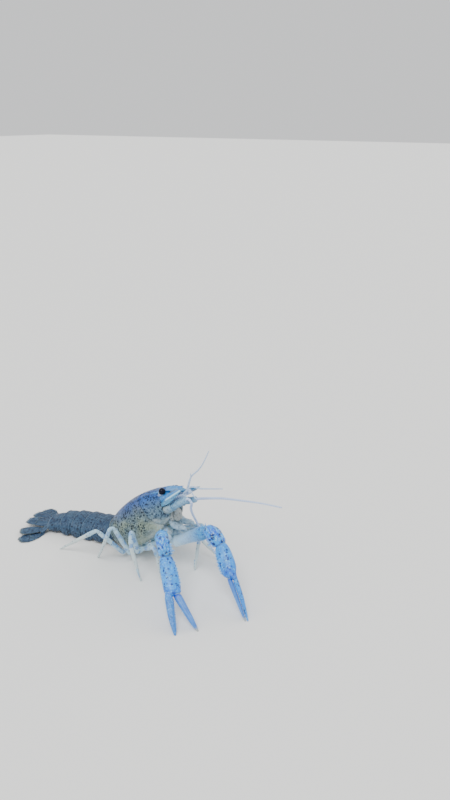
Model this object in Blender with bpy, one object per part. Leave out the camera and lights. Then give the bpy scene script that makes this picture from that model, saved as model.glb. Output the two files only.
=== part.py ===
"""Electric blue crayfish, a still life-size museum model on a flat floor.

Metres, +Z up, floor at zero. The animal faces +X and its left side is +Y.
The carapace is drawn in its own frame: a runs forward from the rear edge,
b to the left and c up, and carapace_point() pitches that frame on the floor.
"""
import math

import bmesh
import bpy
from mathutils import Vector

GAP = 0.0003                  # space that two pieces keep where they meet

# Carapace: rear edge at a = 0, tip of the rostrum at a = CARAPACE_LENGTH.
CARAPACE_LENGTH = 0.043
CARAPACE_PITCH = math.radians(32.4)
PIVOT_A = 0.020               # the point of the carapace axis that sets the body's place
PIVOT_HEIGHT = 0.0175
BODY_X = 0.00366
BODY_Y = 0.00902
HEAD_FACE_A = 0.0315          # flat front of the head that eyes and feelers grow from
GROOVE_A = 0.0200             # cervical groove on the back
GROOVE_LEAN = 0.0085          # how far forward the groove runs down the flank

# Abdomen: six rings, then the tail fan.
RING_LENGTHS = (0.0036, 0.0062, 0.0060, 0.0056, 0.0054, 0.0062)
RING_HALF_WIDTHS = (0.0064, 0.0072, 0.0074, 0.0072, 0.0067, 0.0060)
RING_HEIGHTS = (0.0074, 0.0085, 0.0086, 0.0083, 0.0076, 0.0062)
LAST_RING_END = (0.0052, 0.0040)                     # half width and height at its rear end
RING_SINK = (24.0, 9.0, 2.0, 2.0, 3.0, 8.0)          # degrees below level
RING_SWING = (0.0, 4.0, 9.0, 14.0, 18.0, 21.0)       # degrees towards the right

# Limb joints on the floor frame: where each limb bends, from body to tip.
CHELIPED_JOINTS = {
    "right": ((0.0112, -0.0092, 0.0124), (0.0205, -0.0215, 0.0251), (0.0225, -0.0220, 0.0170)),
    "left": ((0.0090, -0.0002, 0.0080), (0.0308, -0.0053, 0.0222), (0.0350, -0.0055, 0.0176)),
}
FIXED_FINGER_TIP = {"right": (0.0380, -0.0380), "left": (0.0543, -0.0179)}
MOVING_FINGER_TIP = {"right": (0.0430, -0.0320), "left": (0.0535, -0.0184)}
COXA_A = {1: 0.0250, 2: 0.0187, 3: 0.0140, 4: 0.0094, 5: 0.0052}     # where limbs leave the belly
COXA_B = {1: 0.0036, 2: 0.0046, 3: 0.0050, 4: 0.0049, 5: 0.0043}
LEG_JOINTS = {
    ("right", 2): ((0.0141, -0.0179, 0.0162), (0.0133, -0.0153, 0.0109), (0.0140, -0.0137)),
    ("right", 3): ((0.0040, -0.0186, 0.0209), (0.0049, -0.0199, 0.0141), (0.0078, -0.0185)),
    ("right", 4): ((-0.0064, -0.0174, 0.0191), (-0.0087, -0.0179, 0.0130), (-0.0168, -0.0146)),
    ("right", 5): ((-0.0152, -0.0163, 0.0133), (-0.0201, -0.0163, 0.0098), (-0.0340, -0.0180)),
    ("left", 2): ((0.0195, 0.0042, 0.0148), (0.0198, 0.0020, 0.0094), (0.0204, -0.0013)),
    ("left", 3): ((0.0174, 0.0092, 0.0140), (0.0174, 0.0082, 0.0072), (0.0300, 0.0080)),
    ("left", 4): ((-0.0080, 0.0180, 0.0150), (-0.0030, 0.0175, 0.0090), (0.0030, 0.0150)),
    ("left", 5): ((-0.0150, 0.0170, 0.0135), (-0.0180, 0.0175, 0.0095), (-0.0260, 0.0200)),
}

COLOURS = {
    "shell": (0.20, 0.33, 0.50, 0.35),
    "head": (0.27, 0.47, 0.72, 0.35),
    "claw": (0.10, 0.36, 0.85, 0.30),
    "finger": (0.05, 0.22, 0.72, 0.28),
    "leg": (0.45, 0.62, 0.80, 0.35),
    "tail": (0.12, 0.22, 0.42, 0.35),
    "feeler": (0.55, 0.62, 0.85, 0.40),
    "eye": (0.01, 0.01, 0.03, 0.10),
}

for old in list(bpy.data.objects):
    bpy.data.objects.remove(old)


def carapace_point(a, b, c):
    """A point of the carapace's own frame, put on the floor frame."""
    cos_p = math.cos(CARAPACE_PITCH)
    sin_p = math.sin(CARAPACE_PITCH)
    x = BODY_X + (a - PIVOT_A) * cos_p - c * sin_p
    z = PIVOT_HEIGHT + (a - PIVOT_A) * sin_p + c * cos_p
    return Vector((x, BODY_Y + b, z))


def carapace_forward():
    """Direction of the carapace's own a axis."""
    return (carapace_point(1.0, 0.0, 0.0) - carapace_point(0.0, 0.0, 0.0)).normalized()


def on_floor_frame(x, y, z=0.0):
    """A point given from the body's own place on the floor."""
    return Vector((BODY_X + x, BODY_Y + y, z))


def blend(table, at):
    """Read a value between (position, value) pairs, in straight runs and level beyond their ends."""
    if at <= table[0][0]:
        return table[0][1]
    for (x0, y0), (x1, y1) in zip(table, table[1:]):
        if at <= x1:
            t = (at - x0) / (x1 - x0)
            return y0 + (y1 - y0) * t
    return table[-1][1]


def finish(name):
    """A Principled material in the piece's own colour."""
    red, green, blue, rough = COLOURS[name]
    material = bpy.data.materials.new(name)
    material.use_nodes = True
    shader = material.node_tree.nodes["Principled BSDF"]
    shader.inputs["Base Color"].default_value = (red, green, blue, 1.0)
    shader.inputs["Roughness"].default_value = rough
    shader.inputs["Metallic"].default_value = 0.0
    return material


def solid(name, points, faces, colour):
    """A mesh object with its faces turned outwards."""
    mesh = bpy.data.meshes.new(name)
    mesh.from_pydata([tuple(p) for p in points], [], faces)
    body = bmesh.new()
    body.from_mesh(mesh)
    bmesh.ops.recalc_face_normals(body, faces=body.faces)
    body.to_mesh(mesh)
    body.free()
    mesh.materials.append(finish(colour))
    mesh.shade_smooth()
    mesh.set_sharp_from_angle(angle=math.radians(40))
    piece = bpy.data.objects.new(name, mesh)
    bpy.context.scene.collection.objects.link(piece)
    return piece


def loft(name, rings, colour, cap_at=0.5):
    """Skin rings of equal count; a ring of one point closes an end to a tip.

    A flat end is a fan from the point that lies cap_at of the way across it."""
    points = []
    starts = []
    for ring in rings:
        starts.append(len(points))
        points.extend(ring)
    faces = []
    for low, high, ring_a, ring_b in zip(starts, starts[1:], rings, rings[1:]):
        count = max(len(ring_a), len(ring_b))
        for i in range(count):
            j = (i + 1) % count
            if len(ring_a) == 1:
                faces.append((low, high + i, high + j))
            elif len(ring_b) == 1:
                faces.append((low + i, low + j, high))
            else:
                faces.append((low + i, low + j, high + j))
                faces.append((low + i, high + j, high + i))
    for start, ring in ((starts[0], rings[0]), (starts[-1], rings[-1])):
        if len(ring) > 1:
            across = Vector(ring[len(ring) // 2]).lerp(Vector(ring[(len(ring) + 1) // 2]), 0.5)
            points.append(Vector(ring[0]).lerp(across, cap_at))
            for i in range(len(ring)):
                faces.append((start + i, start + (i + 1) % len(ring), len(points) - 1))
    return solid(name, points, faces, colour)


def oval(centre, across, upward, half_width, half_height, sides, squareness=2.0):
    """A ring of points round an oval; squareness above 2 fills its corners."""
    ring = []
    for i in range(sides):
        angle = 2.0 * math.pi * (i + 0.5) / sides
        cos_a = math.cos(angle)
        sin_a = math.sin(angle)
        u = math.copysign(abs(cos_a) ** (2.0 / squareness), cos_a) * half_width
        v = math.copysign(abs(sin_a) ** (2.0 / squareness), sin_a) * half_height
        ring.append(centre + across * u + upward * v)
    return ring


def rounded_corner(before, corner, after, radius, steps=4):
    """Points of the arc that rounds a corner, from one run to the next."""
    back = before - corner
    ahead = after - corner
    half = 0.5 * back.angle(ahead)
    reach = min(radius / math.tan(half), 0.45 * back.length, 0.45 * ahead.length)
    radius = reach * math.tan(half)
    middle = corner + (back.normalized() + ahead.normalized()).normalized() * (radius / math.sin(half))
    first = corner + back.normalized() * reach - middle
    last = corner + ahead.normalized() * reach - middle
    turn = first.angle(last)
    points = []
    for step in range(steps + 1):
        share = turn * step / steps
        points.append(middle + (first * math.sin(turn - share) + last * math.sin(share)) / math.sin(turn))
    return points


def tube_rings(path, profile, sides, across_hint, start=None, end=None, squareness=2.0):
    """Oval rings along a bent path; the profile gives (share of length, half width, half height)."""
    path = [Vector(p) for p in path]
    runs = [(q - p).length for p, q in zip(path, path[1:])]
    total = sum(runs)
    corners = [0.0]
    for run in runs:
        corners.append(corners[-1] + run / total)
    corners[-1] = 1.0
    extra = [row[0] for row in profile if min(abs(row[0] - c) for c in corners) > 0.025]
    widths = [(row[0], row[1]) for row in profile]
    heights = [(row[0], row[2]) for row in profile]
    across = Vector(across_hint)
    rings = []
    for share in sorted(corners + extra):
        run = max(i for i in range(len(runs)) if corners[i] <= share or i == 0)
        at = (share - corners[run]) / (corners[run + 1] - corners[run])
        centre = path[run].lerp(path[run + 1], at)
        along = (path[run + 1] - path[run]).normalized()
        if at == 0.0 and run > 0:
            along = along + (path[run] - path[run - 1]).normalized()
        if share == 0.0 and start is not None:
            along = Vector(start)
        if share == 1.0 and end is not None:
            along = Vector(end)
        along = along.normalized()
        across = (across - along * along.dot(across)).normalized()
        half_width = blend(widths, share)
        half_height = blend(heights, share)
        rings.append(oval(centre, across, across.cross(along), half_width, half_height,
                          sides, squareness))
    return rings


def keep_largest(piece):
    """Drop every closed surface of the piece but its largest one."""
    body = bmesh.new()
    body.from_mesh(piece.data)
    left = set(body.verts)
    groups = []
    while left:
        stack = [left.pop()]
        group = set(stack)
        while stack:
            for edge in stack.pop().link_edges:
                for vert in edge.verts:
                    if vert in left:
                        left.discard(vert)
                        group.add(vert)
                        stack.append(vert)
        groups.append(group)
    groups.sort(key=len, reverse=True)
    loose = [vert for group in groups[1:] for vert in group]
    bmesh.ops.delete(body, geom=loose, context="VERTS")
    body.to_mesh(piece.data)
    body.free()


def fuse(piece, roots):
    """Join the roots to the piece in one union and keep one closed body."""
    if not roots:
        return piece
    group = bpy.data.collections.new(piece.name + "_roots")
    for root in roots:
        bpy.context.scene.collection.objects.unlink(root)
        group.objects.link(root)
    union = piece.modifiers.new("union", "BOOLEAN")
    union.operation = "UNION"
    union.solver = "EXACT"
    union.operand_type = "COLLECTION"
    union.collection = group
    depsgraph = bpy.context.evaluated_depsgraph_get()
    joined = bpy.data.meshes.new_from_object(piece.evaluated_get(depsgraph))
    piece.modifiers.remove(union)
    piece.data = joined
    for root in roots:
        bpy.data.objects.remove(root)
    bpy.data.collections.remove(group)
    keep_largest(piece)
    return piece


def spine(root, tip, radius, colour, sides=5):
    """A thorn whose root sits inside the piece that carries it."""
    root = Vector(root)
    tip = Vector(tip)
    along = (tip - root).normalized()
    hint = Vector((0.0, 0.0, 1.0)) if abs(along.z) < 0.8 else Vector((1.0, 0.0, 0.0))
    across = hint.cross(along).normalized()
    upward = along.cross(across)
    base = oval(root, across, upward, radius, radius, sides)
    middle = oval(root.lerp(tip, 0.6), across, upward, radius * 0.6, radius * 0.6, sides)
    return loft("thorn", [base, middle, [tip]], colour)


# The carapace's outline along a, in its own frame.
TOP_LINE = ((0.000, 0.0046), (0.004, 0.0064), (0.008, 0.0077), (0.014, 0.0089), (0.020, 0.0092),
            (0.025, 0.0090), (0.030, 0.0082), (0.034, 0.0071))
HALF_WIDTH = ((0.000, 0.0064), (0.003, 0.0077), (0.008, 0.0089), (0.013, 0.0093), (0.018, 0.0091),
              (0.022, 0.0085), (0.026, 0.0076), (0.030, 0.0061), (0.0315, 0.0051))
EDGE_LINE = ((0.000, -0.0036), (0.003, -0.0058), (0.008, -0.0075), (0.014, -0.0081),
             (0.019, -0.0079), (0.024, -0.0068), (0.028, -0.0050), (0.0315, -0.0030))
BELLY_RISE = 0.0011           # the belly lies this far above the flank's lower edge
WAIST_SHARE = 0.42            # height of the widest line between lower edge and top
LIP = 0.0013                  # half the thickness of the flank's lower lip
SHIELD_CAP = 0.32             # the fans that close a shield meet this far down its section
ARCH = ((0.0, 0.00), (18.0, 0.10), (36.0, 0.21), (54.0, 0.33), (72.0, 0.45), (90.0, 0.57))


def belly_line(a):
    """Height c of the flat belly at a."""
    return blend(EDGE_LINE, a) + BELLY_RISE


def shield_ring(a, lean=0.0, shrink=0.0):
    """One section of the carapace: arch, flanks, lower lips and belly.

    The section leans forward by lean from the back down to the lower edge."""
    left = []
    for turn, down in ARCH:
        at = a + lean * down
        top = blend(TOP_LINE, at) - shrink
        wide = blend(HALF_WIDTH, at) - shrink
        edge = blend(EDGE_LINE, at) + shrink
        waist = edge + (top - edge) * WAIST_SHARE
        angle = math.radians(turn)
        left.append((at, wide * math.sin(angle) ** 0.85, waist + (top - waist) * math.cos(angle) ** 0.95))
    at = a + lean * 0.80
    wide = blend(HALF_WIDTH, at) - shrink
    edge = blend(EDGE_LINE, at) + shrink
    waist = edge + (blend(TOP_LINE, at) - edge) * WAIST_SHARE
    left.append((at, wide * 0.985, edge + (waist - edge) * 0.45))
    at = a + lean
    wide = blend(HALF_WIDTH, at) - shrink
    edge = blend(EDGE_LINE, at) + shrink
    left.append((at, wide - LIP * 0.4, edge + LIP * 0.5))
    left.append((at, wide - LIP, edge))
    left.append((at, wide - LIP * 1.6, edge + BELLY_RISE))
    left.append((at, 0.0025, edge + BELLY_RISE))
    outline = left + [(at, -b, c) for at, b, c in reversed(left[1:])]
    return [carapace_point(at, b, c) for at, b, c in outline]


# Back shield: the rear part of the carapace, with the belly under it.
def build_back_shield():
    stations = ((0.0, 0.0), (0.0012, 0.0), (0.0035, 0.0), (0.0065, 0.0), (0.0095, 0.0012),
                (0.0125, 0.0030), (0.0155, 0.0052), (0.0185, 0.0077))
    rings = [shield_ring(a, lean, 0.0003 if a == 0.0 else 0.0) for a, lean in stations]
    rings.append(shield_ring(GROOVE_A - GAP * 0.5, GROOVE_LEAN, 0.0003))
    shield = loft("thorax_carapace", rings, "shell", SHIELD_CAP)
    thorns = []
    for side in (-1, 1):
        root = carapace_point(0.0205, side * 0.0078, 0.0010)
        tip = carapace_point(0.0236, side * 0.0098, 0.0016)
        thorns.append(spine(root, tip, 0.0006, "shell"))
    return fuse(shield, thorns)


# Head shield: from the groove to the face, with the rostrum and its spines.
def rostrum_rings():
    stations = ((0.0275, 0.0030, 0.0078, 0.0024), (0.0324, 0.0027, 0.0075, 0.0019),
                (0.0350, 0.0025, 0.0069, 0.0014), (0.0380, 0.0019, 0.0058, 0.0011),
                (0.0396, 0.0011, 0.0050, 0.0010))
    rings = []
    for a, half, top, depth in stations:
        outline = ((0.0, top - 0.0004), (half * 0.62, top - 0.0003), (half, top),
                   (half * 0.9, top - depth * 0.5), (0.0, top - depth),
                   (-half * 0.9, top - depth * 0.5), (-half, top), (-half * 0.62, top - 0.0003))
        rings.append([carapace_point(a, b, c) for b, c in outline])
    rings.append([carapace_point(CARAPACE_LENGTH, 0.0, 0.0036)])
    return rings


def build_head_shield():
    stations = ((GROOVE_A + GAP * 0.5, GROOVE_LEAN, 0.0003), (0.0216, 0.0074, 0.0),
                (0.0240, 0.0056, 0.0), (0.0263, 0.0038, 0.0), (0.0285, 0.0022, 0.0),
                (0.0303, 0.0009, 0.0), (HEAD_FACE_A, 0.0, 0.0005))
    rings = [shield_ring(a, lean, shrink) for a, lean, shrink in stations]
    head = loft("head_carapace", rings, "head", SHIELD_CAP)
    extra = [loft("rostrum", rostrum_rings(), "head")]
    for side in (-1, 1):
        extra.append(spine(carapace_point(0.0285, side * 0.0044, 0.0062),
                           carapace_point(0.0322, side * 0.0053, 0.0069), 0.0006, "head"))
        extra.append(spine(carapace_point(0.0367, side * 0.0016, 0.0057),
                           carapace_point(0.0393, side * 0.0022, 0.0054), 0.0005, "head"))
        extra.append(spine(carapace_point(0.0272, side * 0.0062, 0.0000),
                           carapace_point(0.0300, side * 0.0083, 0.0002), 0.0006, "head"))
    return fuse(head, extra)


# Eyes: a short stalk with a round cornea on its end.
EYE_CENTRE = {"right": (0.0340, 0.0042, 0.0074), "left": (0.0333, 0.0041, 0.0054)}


def build_eye(side, sign):
    eye_a, eye_b, eye_c = EYE_CENTRE[side]
    stalk_root = carapace_point(HEAD_FACE_A + GAP, sign * 0.0034, eye_c - 0.0012)
    centre = carapace_point(eye_a, sign * eye_b, eye_c)
    along = (centre - stalk_root).normalized()
    radius = 0.00125
    face = carapace_forward()
    across = Vector((0.0, 1.0, 0.0))
    rings = [oval(stalk_root, across, across.cross(face), 0.0008, 0.0008, 10)]
    side_axis = (across - along * along.dot(across)).normalized()
    up_axis = side_axis.cross(along)
    rings.append(oval(stalk_root.lerp(centre, 0.35), side_axis, up_axis, 0.0008, 0.0008, 10))
    for turn in (150, 120, 90, 60, 30):
        angle = math.radians(turn)
        at = centre + along * (radius * math.cos(angle))
        size = radius * math.sin(angle)
        if turn == 150:
            size = 0.0009
        rings.append(oval(at, side_axis, up_axis, size, size, 10))
    rings.append([centre + along * radius])
    return loft("eye_" + side, rings, "eye")


# Feelers: base joints, the scale beside them, the long antenna and the antennule.
ANTENNA_BASE_AT = (0.0036, 0.0003)
ANTENNA_BASE_END = {"right": (0.0440, 0.0049, 0.0012), "left": (0.0393, 0.0049, -0.0014)}


def build_antenna_base(side, sign):
    end_a, end_b, end_c = ANTENNA_BASE_END[side]
    root = carapace_point(HEAD_FACE_A + GAP, sign * ANTENNA_BASE_AT[0], ANTENNA_BASE_AT[1])
    end = carapace_point(end_a, sign * end_b, end_c)
    profile = ((0.0, 0.0018, 0.0017), (0.10, 0.0020, 0.0018), (0.34, 0.0019, 0.0017),
               (0.38, 0.0015, 0.0013), (0.60, 0.0016, 0.0014), (0.64, 0.0013, 0.0012),
               (0.95, 0.0013, 0.0012), (1.0, 0.0010, 0.0009))
    rings = tube_rings([root, end], profile, 10, (0.0, 1.0, 0.0), carapace_forward())
    return loft("antenna_base_" + side, rings, "feeler")


SCALE_DROP = {"right": 0.0, "left": 0.0022}     # the left scale points lower
SCALE_LOWER = {"right": 0.0, "left": 0.0003}
SCALE_TILT = {"right": 50, "left": 30}          # degrees that the outer edge hangs down


def build_antennal_scale(side, sign):
    stations = ((HEAD_FACE_A + GAP, 0.0044, 0.0030, 0.0010, 0.0), (0.0335, 0.0047, 0.0034, 0.0016, 0.1),
                (0.0365, 0.0049, 0.0040, 0.0020, 0.4), (0.0395, 0.0048, 0.0045, 0.0017, 0.7),
                (0.0418, 0.0049, 0.0049, 0.0009, 0.9))
    tilt = math.radians(SCALE_TILT[side])
    rings = []
    for a, b, c, half, share in stations:
        height = c - SCALE_DROP[side] * share - SCALE_LOWER[side]
        centre = carapace_point(a, sign * b, height)
        outward = carapace_point(a, sign * (b + math.cos(tilt)), height - math.sin(tilt)) - centre
        outward.normalize()
        rings.append(oval(centre, outward, outward.cross(carapace_forward()), half, 0.0004, 8))
    rings.append([carapace_point(0.0438, sign * 0.0053, 0.0050 - SCALE_DROP[side] - SCALE_LOWER[side])])
    return loft("antennal_scale_" + side, rings, "head")


# Routes of the two long feelers, from the base joint outwards.
ANTENNA_ROUTE = {
    "right": ((0.0212, -0.0049, 0.0314), (0.0217, -0.0047, 0.0304), (0.0213, -0.0042, 0.0291),
              (0.0205, -0.0034, 0.0272), (0.0202, -0.0018, 0.0240), (0.0205, 0.0010, 0.0187),
              (0.0219, 0.0025, 0.0142), (0.0245, 0.0034, 0.0094), (0.0280, 0.0040, 0.0050),
              (0.0318, 0.0040, 0.0018), (0.0355, 0.0036, 0.0007)),
    "left": ((0.0190, 0.0055, 0.0272), (0.0225, 0.0064, 0.0279), (0.0275, 0.0078, 0.0286),
             (0.0340, 0.0100, 0.0286), (0.0410, 0.0130, 0.0281), (0.0480, 0.0160, 0.0270)),
}


def smooth_route(points, steps):
    """Points along a Catmull-Rom curve through the given ones."""
    points = [Vector(p) for p in points]
    ends = [points[0] * 2 - points[1]] + points + [points[-1] * 2 - points[-2]]
    route = []
    for i in range(len(points) - 1):
        p0, p1, p2, p3 = ends[i:i + 4]
        for step in range(steps):
            t = step / steps
            route.append(0.5 * ((2 * p1) + (p2 - p0) * t + (2 * p0 - 5 * p1 + 4 * p2 - p3) * t * t
                                + (3 * p1 - p0 - 3 * p2 + p3) * t * t * t))
    route.append(points[-1])
    return route


def build_antenna(side, sign):
    end_a, end_b, end_c = ANTENNA_BASE_END[side]
    base = carapace_point(HEAD_FACE_A, sign * ANTENNA_BASE_AT[0], ANTENNA_BASE_AT[1])
    root = carapace_point(end_a, sign * end_b, end_c)
    leave = (root - base).normalized()
    start = root + leave * GAP
    route = [start, start + leave * 0.0009] + [on_floor_frame(*p) for p in ANTENNA_ROUTE[side]]
    route = smooth_route(route, 4)
    half = len(route) // 2
    middle_size = 0.00038
    pieces = []
    for name, run, first, last in (("inner", route[:half + 1], 0.00048, middle_size),
                                   ("outer", route[half:], middle_size, 0.00026)):
        run = [Vector(p) for p in run]
        if name == "outer":
            run[0] = run[0] + (run[1] - run[0]).normalized() * GAP
        profile = ((0.0, first, first), (1.0, last, last))
        hint = (0.0, 0.0, 1.0) if side == "left" else (1.0, 0.0, 0.0)
        rings = tube_rings(run, profile, 6, hint, leave if name == "inner" else None)
        pieces.append(loft("antenna_%s_%s" % (side, name), rings, "feeler"))
    return pieces


ANTENNULE_ROUTES = {
    "right": (((0.0195, -0.0020, 0.0352), (0.0245, -0.0026, 0.0362), (0.0350, -0.0042, 0.0396)),
              ((0.0190, -0.0024, 0.0342), (0.0212, -0.0030, 0.0330), (0.0228, -0.0034, 0.0318))),
    "left": (((0.0164, 0.0025, 0.0365), (0.0190, 0.0035, 0.0397), (0.0206, 0.0045, 0.0425),
              (0.0223, 0.0060, 0.0474)),
             ((0.0166, 0.0020, 0.0362), (0.0168, 0.0018, 0.0385))),
}


def build_antennule(side, sign):
    root = carapace_point(HEAD_FACE_A + GAP, sign * 0.0012, 0.0030)
    knuckle = carapace_point(0.0375, sign * 0.0014, 0.0026)
    end = carapace_point(0.0412, sign * 0.0015, 0.0025)
    profile = ((0.0, 0.0010, 0.0010), (0.2, 0.0011, 0.0011), (0.58, 0.0010, 0.0010),
               (0.64, 0.0008, 0.0008), (1.0, 0.0008, 0.0008))
    rings = tube_rings([root, knuckle, end], profile, 8, (0.0, 1.0, 0.0), carapace_forward())
    piece = loft("antennule_" + side, rings, "feeler")
    whips = []
    for route in ANTENNULE_ROUTES[side]:
        points = smooth_route([knuckle.lerp(end, 0.5)] + [on_floor_frame(*p) for p in route], 3)
        profile = ((0.0, 0.00042, 0.00042), (1.0, 0.00022, 0.00022))
        whips.append(loft("whip", tube_rings(points, profile, 6, (0.0, 1.0, 0.3)), "feeler"))
    return fuse(piece, whips)


# Third maxillipeds: the bent mouth feelers under the head.
def build_maxilliped(side, sign):
    stations = ((0.0292, 0.0022, belly_line(0.0292) - GAP), (0.0296, 0.0023, -0.0052),
                (0.0306, 0.0025, -0.0070), (0.0322, 0.0026, -0.0080), (0.0335, 0.0026, -0.0084),
                (0.0343, 0.0025, -0.0092), (0.0344, 0.0024, -0.0101))
    path = [carapace_point(a, sign * b, c) for a, b, c in stations]
    profile = ((0.0, 0.0012, 0.0010), (0.12, 0.0014, 0.0009), (0.30, 0.0018, 0.0009),
               (0.55, 0.0017, 0.0009), (0.75, 0.0011, 0.0009), (0.90, 0.0008, 0.0007),
               (1.0, 0.0003, 0.0003))
    rings = tube_rings(path, profile, 8, (0.0, 1.0, 0.0), belly_normal(0.0292))
    return loft("maxilliped_" + side, rings, "leg")


# Mouth: the jaws and the plate over them, a small block between the feeler bases.
MOUTH = ((-0.0012, 0.0325, 0.0006, 0.0011), (-0.0022, 0.0323, 0.0007, 0.0018),
         (-0.0032, 0.0319, 0.0007, 0.0023), (-0.0044, 0.0316, 0.0007, 0.0024),
         (-0.0053, 0.0315, 0.0006, 0.0019), (-0.0058, 0.0314, 0.0004, 0.0011))


def build_mouth():
    rings = []
    for c, a, half_length, half_width in MOUTH:
        rings.append(oval(carapace_point(a, 0.0, c), Vector((0.0, 1.0, 0.0)), carapace_forward(),
                          half_width, half_length, 12))
    return loft("mouth", rings, "head")


def belly_normal(a):
    """Direction straight out of the belly at a."""
    step = 0.001
    rear = carapace_point(a - step, 0.0, belly_line(a - step))
    front = carapace_point(a + step, 0.0, belly_line(a + step))
    return Vector((0.0, 1.0, 0.0)).cross(front - rear).normalized()


def coxa_root(number, sign, a):
    """Where a limb leaves the belly, one gap clear of it."""
    return carapace_point(a, sign * COXA_B[number], belly_line(a)) + belly_normal(a) * GAP


# Walking legs: coxa to knee is one length, knee to foot is the other.
UPPER_LEG = ((0.0, 0.0014, 0.0012), (0.08, 0.0014, 0.0012), (0.20, 0.0011, 0.0010),
             (0.36, 0.0009, 0.0008), (0.66, 0.0010, 0.0009), (0.95, 0.0009, 0.0008),
             (1.0, 0.0008, 0.0007))
LOWER_LEG = ((0.0, 0.0007, 0.0006), (0.05, 0.0008, 0.0007), (0.22, 0.0009, 0.0008),
             (0.30, 0.0007, 0.0006), (0.36, 0.0008, 0.0007), (0.62, 0.0007, 0.0006),
             (0.72, 0.0005, 0.0005), (0.88, 0.0004, 0.0004), (1.0, 0.0003, 0.0003))
KNEE_RADIUS = 0.0011
HIP_DROP = 0.0024             # a leg drops this far before it turns outwards
HIP_OUT = 0.0013              # and turns up again this far outside the shield's lower edge
HIP_UNDER = 0.0018            # and this far below it
HIP_RADIUS = 0.0016
SHIN_RADIUS = 0.0020
TUCKED_HIP = {("left", 2): (0.0088, 0.0070, 0.0095)}   # a leg folded in turns here instead


def build_leg(side, sign, number):
    a = COXA_A[number]
    root = coxa_root(number, sign, a)
    out = belly_normal(a)
    below = root + out * HIP_DROP
    corner = carapace_point(a, sign * (blend(HALF_WIDTH, a) + HIP_OUT), blend(EDGE_LINE, a) - HIP_UNDER)
    tucked = (side, number) in TUCKED_HIP
    if tucked:
        corner = on_floor_frame(*TUCKED_HIP[(side, number)])
    knee, wrist, foot = [on_floor_frame(*p) for p in LEG_JOINTS[(side, number)]]
    knee_arc = rounded_corner(corner, knee, wrist, KNEE_RADIUS)
    thigh = (knee - corner).normalized()
    if tucked:
        path = [root] + rounded_corner(root, corner, knee, HIP_RADIUS, 3)
    else:
        path = [root] + rounded_corner(root, below, corner, HIP_RADIUS, 3)
        path += rounded_corner(below, corner, knee, HIP_RADIUS, 3)
    path.append(knee_arc[0] - thigh * GAP)
    hint = (1.0, 0.0, 0.2)
    upper = loft("leg_%s_%d_upper" % (side, number),
                 tube_rings(path, UPPER_LEG, 8, hint, out), "leg")
    path = knee_arc + rounded_corner(knee, wrist, foot, SHIN_RADIUS, 2) + [foot]
    lower = loft("leg_%s_%d_lower" % (side, number),
                 tube_rings(path, LOWER_LEG, 8, hint, thigh, (0.0, 0.0, -1.0)), "leg")
    return upper, lower


# Claw limbs: arm, wrist joint, palm with its fixed finger, and the moving finger.
ARM = ((0.0, 0.0016, 0.0016), (0.10, 0.0016, 0.0016), (0.24, 0.0017, 0.0018),
       (0.40, 0.0020, 0.0022), (0.66, 0.0021, 0.0024), (0.88, 0.0025, 0.0028),
       (0.95, 0.0023, 0.0025), (1.0, 0.0017, 0.0018))
WRIST = ((0.0, 0.0017, 0.0018), (0.12, 0.0024, 0.0025), (0.45, 0.0030, 0.0028),
         (0.85, 0.0027, 0.0025), (1.0, 0.0021, 0.0020))
WRIST_SCALE = {"right": 0.82, "left": 1.0}
PALM = {                      # share of length, half width, half thickness, share of the shift
    "right": ((0.0, 0.0020, 0.0018, 0.0), (0.07, 0.0024, 0.0020, 0.1), (0.28, 0.0029, 0.0023, 0.4),
              (0.60, 0.0031, 0.0023, 0.8), (0.86, 0.0030, 0.0021, 1.0), (0.96, 0.0028, 0.0019, 1.0),
              (1.0, 0.0024, 0.0016, 1.0)),
    "left": ((0.0, 0.0019, 0.0018, 0.0), (0.07, 0.0024, 0.0020, 0.1), (0.28, 0.0029, 0.0023, 0.4),
             (0.54, 0.0031, 0.0023, 0.8), (0.74, 0.0029, 0.0021, 1.0), (0.90, 0.0022, 0.0018, 1.0),
             (1.0, 0.0019, 0.0015, 1.0)),
}
PALM_SHARE = {"right": 0.50, "left": 0.44}         # palm's part of the claw's length
PALM_SHIFT = {"right": 0.0009, "left": 0.0003}     # the palm bulges towards its moving finger
FINGER_SCALE = {"right": 1.0, "left": 0.62}        # the left fingers are seen closed and edge on
FINGER_BOW = 0.8              # share of its root shift that the fixed finger keeps halfway along
FIXED_FINGER = ((0.0, 0.0014, 0.0014), (0.22, 0.0015, 0.0015), (0.50, 0.0013, 0.0013),
                (0.80, 0.0009, 0.0010), (1.0, 0.0004, 0.0004))
MOVING_FINGER = ((0.0, 0.0012, 0.0012), (0.08, 0.0014, 0.0014), (0.40, 0.0012, 0.0013),
                 (0.75, 0.0009, 0.0010), (1.0, 0.0004, 0.0004))
FINGER_SHIFT = {"right": (0.0006, 0.0023), "left": (0.0008, 0.00115)}   # fixed and moving roots
FINGER_ROOT = 0.0030          # the fixed finger starts this deep inside the palm
SIGHT = Vector((0.512, -0.788, 0.342))    # the side from which the left claw shows its flat
ARM_DROP = 0.0034             # an arm drops this far before it turns forward
ARM_ROOT_RADIUS = 0.0022
ARM_BEND_RADIUS = 0.0024
ELBOW_RADIUS = 0.0030


def narrowed(profile, scale):
    return [(share, half * scale, thick) for share, half, thick in profile]


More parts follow.
